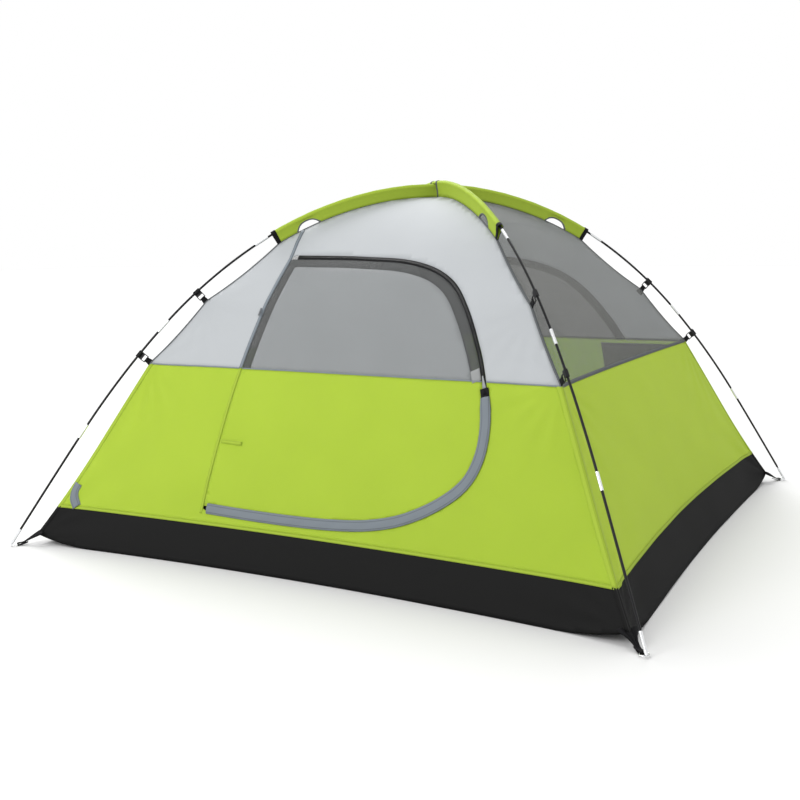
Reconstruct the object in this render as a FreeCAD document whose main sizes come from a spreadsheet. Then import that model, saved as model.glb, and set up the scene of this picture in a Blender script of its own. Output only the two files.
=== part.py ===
"""Two-pole dome tent, pitched: crossed arch poles, sewn shell, zipped door, pole clips and corner pins.

Frame: millimetres, +Z up, +X to the right along the door wall, the door faces -Y. The origin is the centre
of the footprint on the ground. Pole A runs from the front left to the rear right, pole B from the front
right to the rear left, over pole A at the apex.
"""
import FreeCAD, Part
import math
import os

from FreeCAD import Placement, Rotation, Vector

doc = FreeCAD.newDocument("tent")

# ---------------------------------------------------------------- driving dimensions
SIZES = [
    ("section_length", 495.0), ("pole_diameter", 8.5), ("pole_bore", 5.0), ("cord_diameter", 3.0),
    ("turn_crown", 23.2), ("turn_shoulder", 20.0), ("turn_upper", 14.8), ("turn_lower", 8.4),
    ("turn_foot", 0.9),
    ("bend_pole_a", 1.008), ("bend_pole_b", 1.020), ("foot_height", 9.0), ("footprint_angle", 44.31),
    ("ferrule_length", 58.0), ("ferrule_diameter", 10.6), ("ferrule_bore", 9.1), ("tip_length", 65.0),
    ("pin_diameter", 4.4), ("pin_length", 42.0),
    ("ring_radius", 14.0), ("ring_wire", 3.4), ("ring_height", 5.0),
    ("fabric", 1.5), ("ridge_gap_apex", 47.0), ("ridge_gap_clip", 50.0), ("ridge_gap_hem", 56.0),
    ("sag_sleeve", 17.0), ("sag_clips", 12.0), ("sag_leg", 20.0), ("taut_gap", 60.0),
    ("sleeve_end", 692.0), ("clip_two", 1057.5), ("clip_one", 1376.0), ("hem_corner", 2155.0),
    ("hem_bow", 62.0), ("bow_height", 900.0), ("hem_clear", 4.0), ("corner_lift", 38.0),
    ("tub_height", 140.0), ("panel_height", 662.0), ("seam_gap", 0.6),
    ("door_left", -431.0), ("door_lean", 66.0), ("door_bottom", 166.0), ("door_width", 1040.0),
    ("door_height", 888.0), ("zip_half", 7.0), ("door_gap", 0.8),
    ("window_band", 42.0), ("window_side", 35.0),
    ("sleeve_inner", 12.4), ("sleeve_outer", 15.0), ("web_thickness", 2.0), ("web_clearance", 3.0),
    ("slot_arc", 547.0), ("slot_length", 80.0), ("webbing_width", 20.0), ("webbing_thickness", 1.6),
    ("clip_reach", 32.0), ("clip_width", 22.0), ("bar_diameter", 3.2), ("bar_clearance", 0.08),
    ("slider_length", 30.0), ("slider_width", 28.0), ("slider_lift", 1.3), ("eye_lift", 5.8),
    ("pull_length", 22.0), ("pull_width", 16.0), ("pull_thickness", 2.0),
]
sheet = doc.addObject("Spreadsheet::Sheet", "sizes")
for row, (alias, value) in enumerate(SIZES, start=1):
    sheet.set("A%d" % row, alias)
    sheet.set("B%d" % row, str(value))
    sheet.setAlias("B%d" % row, alias)
doc.recompute()


def size(alias):
    """A driving dimension, read back from the sheet."""
    return float(sheet.get(alias))


parts = []          # the document objects that are written as nodes


def publish(obj, label):
    obj.Label = label
    parts.append(obj)
    return obj


def feature(name, shape):
    obj = doc.addObject("Part::Feature", name)
    obj.Shape = shape
    return obj


def boolean(kind, name, base, tool):
    obj = doc.addObject("Part::" + kind, name)
    obj.Base, obj.Tool = base, tool
    return obj


def fuse(name, shapes):
    obj = doc.addObject("Part::MultiFuse", name)
    obj.Shapes = shapes
    return obj


def group(name, shapes):
    obj = doc.addObject("Part::Compound", name)
    obj.Links = shapes
    return obj


# ---------------------------------------------------------------- pole curves
LS = size("section_length")
PHI = math.radians(size("footprint_angle"))
TURNS = [size("turn_crown") / 2]
TURNS += [size(name) for name in ("turn_shoulder", "turn_upper", "turn_lower", "turn_foot")]
LENGTHS = [LS / 2] + [LS] * 4
HALF = sum(LENGTHS)


def walk(arc, bend):
    """Horizontal reach, drop and slope at an arc length from the apex, along a chain of tangent arcs."""
    reach = drop = slope = 0.0
    for length, turn in zip(LENGTHS, TURNS):
        run = min(arc, length)
        rho = length / math.radians(turn * bend)
        step = run / rho
        reach += rho * (math.sin(slope + step) - math.sin(slope))
        drop += rho * (math.cos(slope) - math.cos(slope + step))
        slope += step
        arc -= run
        if arc <= 1e-9:
            break
    return reach, drop, slope


def pole_at(arc, bend):
    """Reach, height and slope of a pole's centre line."""
    reach, drop, slope = walk(abs(arc), bend)
    return reach, size("foot_height") + walk(HALF, bend)[1] - drop, slope


BEND = {"a": size("bend_pole_a"), "b": size("bend_pole_b")}
BEND_MEAN = (BEND["a"] + BEND["b"]) / 2
# compass angle of each leg in plan, for its reach direction
LEGS = {"front_left": ("a", math.pi + PHI), "rear_right": ("a", PHI),
        "front_right": ("b", -PHI), "rear_left": ("b", math.pi - PHI)}


def out_of(angle):
    return Vector(math.cos(angle), math.sin(angle), 0)


def leg_frame(leg, arc):
    """Point, outward tangent, inward normal and sideways direction on a leg's pole."""
    name, angle = LEGS[leg]
    reach, height, slope = pole_at(arc, BEND[name])
    radial = out_of(angle)
    point = radial * reach + Vector(0, 0, height)
    tangent = radial * math.cos(slope) - Vector(0, 0, math.sin(slope))
    inward = -(radial * math.sin(slope) + Vector(0, 0, math.cos(slope)))
    return point, tangent, inward, tangent.cross(inward)


def framed(point, x_dir, y_dir, z_dir):
    return Placement(point, Rotation(x_dir, y_dir, z_dir, "XYZ"))


# ---------------------------------------------------------------- poles
def arc_tube(name, leg, number, bound):
    """A torus segment for section number 1..4 counted from the crown (0 is the crown's half)."""
    pole = LEGS[leg][0]
    start = sum(LENGTHS[:number])
    point, tangent, inward, side = leg_frame(leg, start + 1e-6)
    turn = ("turn_crown", "turn_shoulder", "turn_upper", "turn_lower", "turn_foot")[number]
    torus = doc.addObject("Part::Torus", name)
    radius = "sizes.section_length * 180 / (pi * sizes.%s * sizes.bend_pole_%s)" % (turn, pole)
    torus.setExpression("Radius1", radius)
    torus.setExpression("Radius2", "sizes.%s / 2" % bound)
    sweep = "sizes.%s * sizes.bend_pole_%s" % (turn, pole)
    torus.setExpression("Angle3", sweep if number else sweep + " / 2")
    rho = LENGTHS[number] / math.radians(TURNS[number] * BEND[pole])
    torus.Placement = framed(point + inward * rho, -inward, tangent, (-inward).cross(tangent))
    return torus


def crown_tube(name, pole, bound):
    """The middle section spans the apex, so it starts on one leg and ends on the other."""
    leg = "front_left" if pole == "a" else "front_right"
    torus = arc_tube(name, leg, 0, bound)
    torus.setExpression("Angle3", "sizes.turn_crown * sizes.bend_pole_%s" % pole)
    half = size("turn_crown") * BEND[pole] / 2
    turned = Placement(Vector(), Rotation(Vector(0, 0, 1), -half))
    torus.Placement = torus.Placement.multiply(turned)
    return torus


shock_cords = []
for pole in ("a", "b"):
    near, far = [leg for leg in LEGS if LEGS[leg][0] == pole]
    cords = []
    number = 1
    for leg, order in ((near, (4, 3, 2, 1)), (None, (0,)), (far, (1, 2, 3, 4))):
        for k in order:
            label = "pole_%s_section_%d" % (pole, number)
            make = (lambda n, b: arc_tube(n, leg, k, b)) if leg else (lambda n, b: crown_tube(n, pole, b))
            rod, bore = make(label + "_rod", "pole_diameter"), make(label + "_bore", "pole_bore")
            publish(boolean("Cut", label, rod, bore), label)
            if number not in (1, 9):
                cords.append(make("cord_%s_%d" % (pole, number), "cord_diameter"))
            number += 1
    shock_cords.append(fuse("shock_cord_" + pole, cords))
publish(group("shock_cords", shock_cords), "shock_cords")

ferrules, tips = [], []
for leg, (pole, angle) in LEGS.items():
    for k in range(4):
        arc = LS / 2 + k * LS
        point, tangent, inward, side = leg_frame(leg, arc)
        spot = framed(point + inward * 0.17 - tangent * size("ferrule_length") / 2, inward, side, tangent)
        tubes = []
        for what in ("ferrule_diameter", "ferrule_bore"):
            tube = doc.addObject("Part::Cylinder", "%s_%s_%d" % (what, leg, k))
            tube.setExpression("Radius", "sizes.%s / 2" % what)
            tube.setExpression("Height", "sizes.ferrule_length")
            tube.Placement = spot
            tubes.append(tube)
        ferrules.append(boolean("Cut", "ferrule_%s_%d" % (leg, k), *tubes))
    point, tangent, inward, side = leg_frame(leg, HALF)
    spot = framed(point - tangent * (size("tip_length") - 2), inward, side, tangent)
    shell = doc.addObject("Part::Cylinder", "tip_shell_" + leg)
    shell.setExpression("Radius", "sizes.ferrule_diameter / 2")
    shell.setExpression("Height", "sizes.tip_length")
    seat = doc.addObject("Part::Cylinder", "tip_seat_" + leg)
    seat.setExpression("Radius", "sizes.ferrule_bore / 2")
    seat.setExpression("Height", "sizes.tip_length - 1.6")
    mouth = doc.addObject("Part::Cylinder", "tip_mouth_" + leg)
    mouth.setExpression("Radius", "sizes.pole_bore / 2")
    mouth.setExpression("Height", "sizes.tip_length + 5")
    for obj in (shell, seat, mouth):
        obj.Placement = spot
    tips.append(boolean("Cut", "pole_tip_" + leg, boolean("Cut", "tip_cup_" + leg, shell, seat), mouth))
publish(group("pole_ferrules", ferrules), "pole_ferrules")
publish(group("pole_tips", tips), "pole_tips")

# ---------------------------------------------------------------- corner pins, rings and straps
pins = []
for leg in LEGS:
    point, tangent, inward, side = leg_frame(leg, HALF)
    drop = (point.z - size("ring_height")) / -tangent.z
    low = point + tangent * drop
    pin = doc.addObject("Part::Cylinder", "pin_" + leg)
    pin.setExpression("Radius", "sizes.pin_diameter / 2")
    pin.setExpression("Height", "sizes.pin_length")
    pin.Placement = framed(low, side, inward, -tangent)
    ring = doc.addObject("Part::Torus", "ring_" + leg)
    ring.setExpression("Radius1", "sizes.ring_radius")
    ring.setExpression("Radius2", "sizes.ring_wire / 2")
    radial = out_of(LEGS[leg][1])
    ring.Placement = Placement(low - radial * size("ring_radius"), Rotation())
    pins.append(fuse("ring_pin_" + leg, [pin, ring]))
publish(group("ring_pins", pins), "ring_pins")


# ---------------------------------------------------------------- fabric surface
def ridge_gap(arc):
    """Distance from the pole's centre line in to the sewn edge, scalloped between its hold points."""
    knots = [(0.0, size("ridge_gap_apex"), 0.0), (size("sleeve_end"), 45.0, size("sag_sleeve")),
             (size("clip_two"), size("ridge_gap_clip"), size("sag_clips")),
             (size("clip_one"), size("ridge_gap_clip"), size("sag_leg")),
             (size("hem_corner"), size("ridge_gap_hem"), 0.0)]
    for (a0, g0, sag), (a1, g1, _) in zip(knots, knots[1:]):
        if arc <= a1 + 1e-6:
            t = (arc - a0) / (a1 - a0)
            return g0 + (g1 - g0) * t + sag * 4 * t * (1 - t)
    return knots[-1][1]


def ridge_at(arc):
    """Reach and height of the sewn edge along a leg."""
    reach, height, slope = pole_at(arc, BEND_MEAN)
    gap = ridge_gap(arc)
    return reach - gap * math.sin(slope), height - gap * math.cos(slope)


def taut_at(arc):
    """The line that the middle of a wall follows: the sewn edge without its scallops."""
    reach, height, slope = pole_at(arc, BEND_MEAN)
    apex, taut = size("ridge_gap_apex"), size("taut_gap")
    gap = apex + (taut - apex) * math.sin(math.pi / 2 * min(1.0, arc / 900.0))
    gap += (size("ridge_gap_hem") - taut) * max(0.0, (arc - 1900) / (size("hem_corner") - 1900))
    return reach - gap * math.sin(slope), height - gap * math.cos(slope)


STEPS = [20 + 5.0 * k for k in range(int((size("hem_corner") - 20) / 5) + 1)]
RIDGE, TAUT = [ridge_at(a) for a in STEPS], [taut_at(a) for a in STEPS]


def reach_on(line, height):
    for (r0, z0), (r1, z1) in zip(line, line[1:]):
        if z1 <= height <= z0:
            return r0 + (r1 - r0) * (z0 - height) / (z0 - z1)
    return line[-1][0] if height < line[-1][1] else line[0][0]


def bow(height):
    return size("hem_bow") * max(0.0, 1 - height / size("bow_height")) ** 1.6


SIDES = {"front": -90, "right": 0, "rear": 90, "left": 180}


def side_point(side, across, height, row=None):
    """Outer surface of a wall: across runs along it (+X or +Y). Near the hem, row is the ridge's height."""
    edge = reach_on(RIDGE, height if row is None else row)
    taut = reach_on(TAUT, height if row is None else row)
    along, depth = math.cos(PHI), math.sin(PHI)
    if side in ("left", "right"):
        along, depth = depth, along
    u = min(1.0, abs(across) / (edge * along))
    out = depth * (taut + (edge - taut) * u ** 4) - bow(height) * (1 - u ** 2)
    if side in ("front", "rear"):
        return Vector(across, -out if side == "front" else out, height)
    return Vector(out if side == "right" else -out, across, height)


def side_normal(side, across, height):
    d = 2.0
    run = side_point(side, across + d, height) - side_point(side, across - d, height)
    rise = side_point(side, across, height + d) - side_point(side, across, height - d)
    normal = run.cross(rise)
    normal.normalize()
    outward = out_of(math.radians(SIDES[side]))
    return normal if normal.dot(outward + Vector(0, 0, 0.3)) > 0 else -normal


def slab(outer, inner):
    """A closed solid between two equal grids of points."""
    faces, surfaces = [], []
    for grid in (outer, inner):
        surface = Part.BSplineSurface()
        surface.interpolate(grid)
        surfaces.append(surface)
        faces.append(surface.toShape())
    for direction, ends in (("u", (0, 1)), ("v", (0, 1))):
        for end in ends:
            curves = []
            for s in surfaces:
                lo_u, hi_u, lo_v, hi_v = s.bounds()
                curves.append(s.uIso((lo_u, hi_u)[end]) if direction == "u" else s.vIso((lo_v, hi_v)[end]))
            faces.append(Part.makeRuledSurface(curves[0].toShape(), curves[1].toShape()))
    shell = Part.makeShell(faces)
    shell.sewShape()
    solid = Part.makeSolid(shell)
    if solid.Volume < 0:
        solid.reverse()
    return solid


COLUMNS = (-1.0, -0.93, -0.85, -0.7, -0.45, -0.15, 0.15, 0.45, 0.7, 0.85, 0.93, 1.0)
HEM_ROWS = (2155, 2100, 2040, 1970)
ROWS = (1880, 1760, 1620, 1500, 1376, 1297, 1217, 1137, 1057.5, 965, 875, 780, 692, 580, 450, 300, 160, 40)
EDGE_INSET = 2.2        # each wall stops short of the ridge, where the two seam allowances meet
LIFT_FROM = 0.78        # share of the half width where the hem starts to rise to the corner's ring


def hem_level(u):
    """Height of the hem at a share of the half width: it clears the ground, and rises at the corners."""
    lift = max(0.0, (abs(u) - LIFT_FROM) / (1 - LIFT_FROM))
    return size("hem_clear") + (size("corner_lift") + 2 - size("hem_clear")) * lift ** 2


def wall_solid(side, depth=0.0):
    """A whole wall from hem to crest, as deep as the fabric, set in from the outer surface by depth."""
    outer, inner = [], []
    foot, top = ridge_at(size("hem_corner"))[1], ridge_at(ROWS[0])[1]
    along = math.cos(PHI) if side in ("front", "rear") else math.sin(PHI)
    for arc in HEM_ROWS + ROWS:
        reach, row = ridge_at(arc)
        half = reach * along - EDGE_INSET - depth
        line_out, line_in = [], []
        for u in COLUMNS:
            hem = hem_level(u)
            level = hem + (top - hem) * (row - foot) / (top - foot) if arc in HEM_ROWS else row
            point = side_point(side, u * half, level, row)
            normal = side_normal(side, u * half, max(level, 45.0))
            line_out.append(point - normal * depth)
            line_in.append(point - normal * (depth + size("fabric")))
        outer.append(line_out)
        inner.append(line_in)
    return slab(outer, inner)


ROOM = 1400.0           # half the side of a box that takes in the whole tent
CREST = "1500"          # above the whole tent


def slice_box(name, low, high):
    """A level slice of space between two heights, given as expressions."""
    box = doc.addObject("Part::Box", name)
    box.Length = box.Width = 2 * ROOM
    box.setExpression("Height", "(%s) - (%s)" % (high, low))
    box.setExpression("Placement.Base.x", "-%g" % ROOM)
    box.setExpression("Placement.Base.y", "-%g" % ROOM)
    box.setExpression("Placement.Base.z", low)
    return box


TUB, SEAM, GAP = "sizes.tub_height", "sizes.panel_height", "sizes.seam_gap / 2"
walls = {side: feature("wall_" + side, wall_solid(side)) for side in SIDES}
inner_front = feature("wall_front_inner", wall_solid("front", 9.0))


def level_piece(name, wall, low, high):
    return boolean("Common", name, wall, slice_box(name + "_slice", low, high))


tubs = [level_piece("tub_" + side, walls[side], "-5", TUB + " - " + GAP) for side in SIDES]
publish(group("tub_walls", tubs), "tub_walls")
for side in ("left", "right"):
    name = side + "_lower_wall"
    publish(level_piece(name, walls[side], TUB + " + " + GAP, SEAM + " - " + GAP), name)
    name = side + "_mesh_wall"
    publish(level_piece(name, walls[side], SEAM + " + " + GAP, CREST), name)

# ---------------------------------------------------------------- door outline
# the zip's path, as fractions of the door's width and height, from the top of the hinge seam to its foot
DOOR_PATH = [(0.055, 1.0), (0.22, 0.996), (0.38, 0.990), (0.52, 0.981), (0.63, 0.957), (0.71, 0.922),
             (0.773, 0.873), (0.835, 0.793), (0.889, 0.697), (0.935, 0.597), (0.966, 0.495), (0.983, 0.385),
             (0.977, 0.295), (0.945, 0.215), (0.87, 0.142), (0.76, 0.078), (0.64, 0.042), (0.50, 0.026),
             (0.35, 0.021), (0.18, 0.022), (0.0, 0.028)]


def door_xz(fx, fz):
    return size("door_left") + fx * size("door_width"), size("door_bottom") + fz * size("door_height")


def door_samples(count=160):
    """Points along the zip's path, evenly spread, as (across, height)."""
    curve = Part.BSplineCurve()
    curve.interpolate([Vector(x, 0, z) for x, z in (door_xz(*f) for f in DOOR_PATH)])
    return [(p.x, p.z) for p in curve.discretize(Number=count)]


PATH = door_samples()


def path_offset(path, distance):
    """The path moved sideways; positive moves to the inside of the door."""
    moved = []
    for k, (x, z) in enumerate(path):
        x0, z0 = path[max(0, k - 1)]
        x1, z1 = path[min(len(path) - 1, k + 1)]
        dx, dz = x1 - x0, z1 - z0
        length = math.hypot(dx, dz)
        moved.append((x + dz / length * distance, z - dx / length * distance))
    return moved


def hinge_x(height):
    """The straight hinge seam leans with the wall."""
    return size("door_left") + size("door_lean") * (height - 180.0) / 874.0


def spline_edge(points):
    curve = Part.BSplineCurve()
    curve.interpolate(points)
    return curve.toShape()


def extruded(name, outline, direction, length):
    """A flat outline pushed straight along a direction; length is an expression."""
    prism = doc.addObject("Part::Extrusion", name)
    prism.Base = feature(name + "_outline", Part.Face(outline))
    prism.DirMode = "Custom"
    prism.Dir = direction
    prism.setExpression("LengthFwd", length)
    prism.Solid = True
    return prism


def door_prism(name, inset, side_inset, y_side=-1):
    """The door's outline pushed through the wall, inset from the zip and from the hinge seam."""
    path = path_offset(PATH, inset)[::4]
    xs, zs = [p[0] for p in path], [p[1] for p in path]
    top, foot = (-600.0, zs[0]), (-600.0, zs[-1])
    loop = [Vector(x, 0, z) for x, z in [top] + path + [foot, top]]
    outline = Part.Wire([Part.makeLine(loop[0], loop[1]), spline_edge(loop[1:-2]),
                         Part.makeLine(loop[-3], loop[-2]), Part.makeLine(loop[-2], loop[0])])
    reach = extruded(name + "_reach", outline, Vector(0, y_side, 0), "1300")
    x0, x1 = hinge_x(0.0) + side_inset, hinge_x(1300.0) + side_inset
    spots = ((x0, 0), (1200, 0), (1200, 1300), (x1, 1300), (x0, 0))
    corners = [Vector(x, 0, z) for x, z in spots]
    keep = extruded(name + "_keep", Part.makePolygon(corners), Vector(0, y_side, 0), "1300")
    return boolean("Common", name, reach, keep)


HOLE, LEAF = size("zip_half") + 0.7, size("zip_half") + 1.2
door_hole = door_prism("door_hole", -HOLE, -0.2)
door_leaf = door_prism("door_leaf", LEAF, size("door_gap"))
window_cut = door_prism("window_cut", size("window_band"), size("window_side"))
flap_leaf = door_prism("flap_leaf", size("window_band") - 6, size("window_side") - 5)

for what, low, high in (("lower_wall", TUB + " + " + GAP, SEAM + " - " + GAP),
                        ("upper_wall", SEAM + " + " + GAP, CREST)):
    whole = level_piece("front_%s_whole" % what, walls["front"], low, high)
    publish(boolean("Cut", "front_" + what, whole, door_hole), "front_" + what)

leaf = boolean("Common", "door_leaf_cloth", walls["front"], door_leaf)
publish(level_piece("door_lower_panel", leaf, "0", SEAM + " - " + GAP), "door_lower_panel")
upper_leaf = level_piece("door_upper_whole", leaf, SEAM + " + " + GAP, CREST)
publish(boolean("Cut", "door_window_frame", upper_leaf, window_cut), "door_window_frame")
mesh_cut = door_prism("mesh_cut", size("window_band") + 0.4, size("window_side") + 0.4)
publish(boolean("Common", "door_window_mesh", upper_leaf, mesh_cut), "door_window_mesh")
flap_cloth = boolean("Common", "flap_cloth", inner_front, flap_leaf)
publish(level_piece("window_flap", flap_cloth, SEAM + " + 6", CREST), "window_flap")

# rear wall, with the same D-shaped window facing +Y
back_hole = door_prism("back_hole", 0.0, 0.0, 1)
back_window = door_prism("back_window", size("window_band"), size("window_side"), 1)
back_mesh = door_prism("back_mesh", size("window_band") + 0.4, size("window_side") + 0.4, 1)
rear_lower = level_piece("rear_lower_wall", walls["rear"], TUB + " + " + GAP, SEAM + " - " + GAP)
publish(rear_lower, "rear_lower_wall")
rear_upper = level_piece("rear_upper_whole", walls["rear"], SEAM + " + " + GAP, CREST)
publish(boolean("Cut", "rear_upper_wall", rear_upper, back_hole), "rear_upper_wall")
back_leaf = door_prism("back_leaf", 0.4, 0.4, 1)
back_cloth = boolean("Common", "rear_window_cloth", rear_upper, back_leaf)
publish(boolean("Cut", "rear_window_frame", back_cloth, back_window), "rear_window_frame")
publish(boolean("Common", "rear_window_mesh", back_cloth, back_mesh), "rear_window_mesh")


# ---------------------------------------------------------------- bands sewn along a path on a wall
def band_shape(side, path, width_low, width_high, lift_low, lift_high, steps=3):
    """A strip along a path on a wall: from width_low to width_high, between two lifts off the cloth."""
    outer, inner = [], []
    stride = (width_high - width_low) / (steps - 1)
    edges = [path_offset(path, width_low + stride * k) for k in range(steps)]
    for column in zip(*edges):
        row_out, row_in = [], []
        for across, height in column:
            point, normal = side_point(side, across, height), side_normal(side, across, height)
            row_out.append(point + normal * lift_high)
            row_in.append(point + normal * lift_low)
        outer.append(row_out)
        inner.append(row_in)
    return slab(outer, inner)


def band(name, side, path, widths, lifts):
    return publish(feature(name, band_shape(side, path, widths[0], widths[1], lifts[0], lifts[1])), name)


open_path = [p for p in PATH[::4] + PATH[-1:] if p[0] > hinge_x(p[1]) + 9]
zip_tape = feature("zip_tape", band_shape("front", open_path, -size("zip_half"), -0.35, -1.0, 0.5))
band("zip_door_side", "front", open_path, (0.35, size("zip_half")), (-1.0, 0.5))
flap_start = next(k for k, p in enumerate(PATH) if p[0] > 500 and p[1] < 600)
flap_path = [p for p in PATH[flap_start::5] if p[0] > hinge_x(p[1]) + 9]
band("storm_flap", "front", flap_path, (-17.0, 16.0), (2.2, 3.4))
seam = [(hinge_x(z) - 8.0, z) for z in (175, 330, 480, 640, 800, 920, 1040)]
band("hinge_seam_tape", "front", seam, (-6.0, 6.0), (1.6, 2.6))

# cable port cover at the foot of the front wall's left edge
port = [(-990.0, 146.0), (-1008.0, 168.0), (-1014.0, 195.0), (-1006.0, 222.0)]
band("cable_port_cover", "front", port, (-18.0, 18.0), (0.8, 2.0))

# pocket hung inside the rear wall by the right corner
pocket = [(680.0, 430.0), (680.0, 500.0), (680.0, 580.0), (680.0, 650.0)]
band("gear_pocket", "rear", pocket, (-235.0, 136.0), (-17.0, -16.0))


# ---------------------------------------------------------------- sleeves
def sleeve_tube(name, leg, number, arc_from, arc_to):
    """The tube of cloth round a pole, turned about the centre of one of the pole's arcs."""
    point, tangent, inward, side = leg_frame(leg, arc_from + 1e-6)
    rho = LENGTHS[number] / math.radians(TURNS[number] * BEND[LEGS[leg][0]])
    disc, hollow = (Part.Face(Part.Wire(Part.makeCircle(size(d) / 2, Vector(), Vector(0, 0, 1))))
                    for d in ("sleeve_outer", "sleeve_inner"))
    face = feature(name + "_section", disc.cut(hollow).Faces[0])
    face.Placement = framed(point, -inward, tangent.cross(-inward), tangent)
    turn = doc.addObject("Part::Revolution", name)
    turn.Source = face
    turn.Axis = tangent.cross(inward)
    turn.Base = point + inward * rho
    turn.Angle = math.degrees((arc_to - arc_from) / rho)
    turn.Solid = True
    return turn


def web_depth(leg, arc):
    """How far in from the pole's centre line a sleeve's web reaches: just short of the sewn ridge."""
    bend = BEND[LEGS[leg][0]]
    rise = (walk(HALF, bend)[1] - walk(HALF, BEND_MEAN)[1]) * math.cos(pole_at(arc, BEND_MEAN)[2])
    return ridge_gap(arc) + rise - size("web_clearance")


def sleeve_web(name, leg, arc_from, steps=12):
    """The flat cloth that hangs from a sleeve's tube, in the pole's own plane."""
    top, foot = [], []
    for k in range(steps + 1):
        arc = arc_from + (size("sleeve_end") - arc_from) * k / steps
        point, tangent, inward, side = leg_frame(leg, arc)
        edge = point - side * (size("web_thickness") / 2)
        top.append(edge + inward * (size("sleeve_inner") / 2 + 0.6))
        foot.append(edge + inward * web_depth(leg, arc))
    outline = Part.Wire([spline_edge(top), Part.makeLine(top[-1], foot[-1]), spline_edge(foot[::-1]),
                         Part.makeLine(foot[0], top[0])])
    return extruded(name, outline, side, "sizes.web_thickness")


def sleeve_pieces(name, leg, arc_from):
    """Tube and web from near the apex to the sleeve's end, with the arched slot the pole is fed through."""
    middle, end = LS / 2, size("sleeve_end")
    crown = sleeve_tube(name + "_crown", leg, 0, arc_from, middle)
    shoulder = sleeve_tube(name + "_shoulder", leg, 1, middle, end)
    point, tangent, inward, side = leg_frame(leg, size("slot_arc"))
    slot = doc.addObject("Part::Cylinder", name + "_slot")
    slot.setExpression("Radius", "sizes.slot_length / 2")
    slot.Height = 30
    slot.Placement = framed(point + inward * (web_depth(leg, size("slot_arc")) + 14) - side * 15,
                            tangent, inward, side)
    run = fuse(name + "_run", [crown, shoulder, sleeve_web(name + "_web", leg, arc_from)])
    return boolean("Cut", name + "_cut", run, slot)


publish(fuse("sleeve_a", [sleeve_pieces("sleeve_a_left", "front_left", 0.0),
                          sleeve_pieces("sleeve_a_right", "rear_right", 0.0)]), "sleeve_a")
CROSSING = 26.0         # sleeve B stops short of the apex, where it would meet sleeve A
halves = [sleeve_pieces(name, leg, CROSSING)
          for leg, name in (("front_right", "sleeve_b_front"), ("rear_left", "sleeve_b_rear"))]
publish(group("sleeve_b", halves), "sleeve_b")

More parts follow.
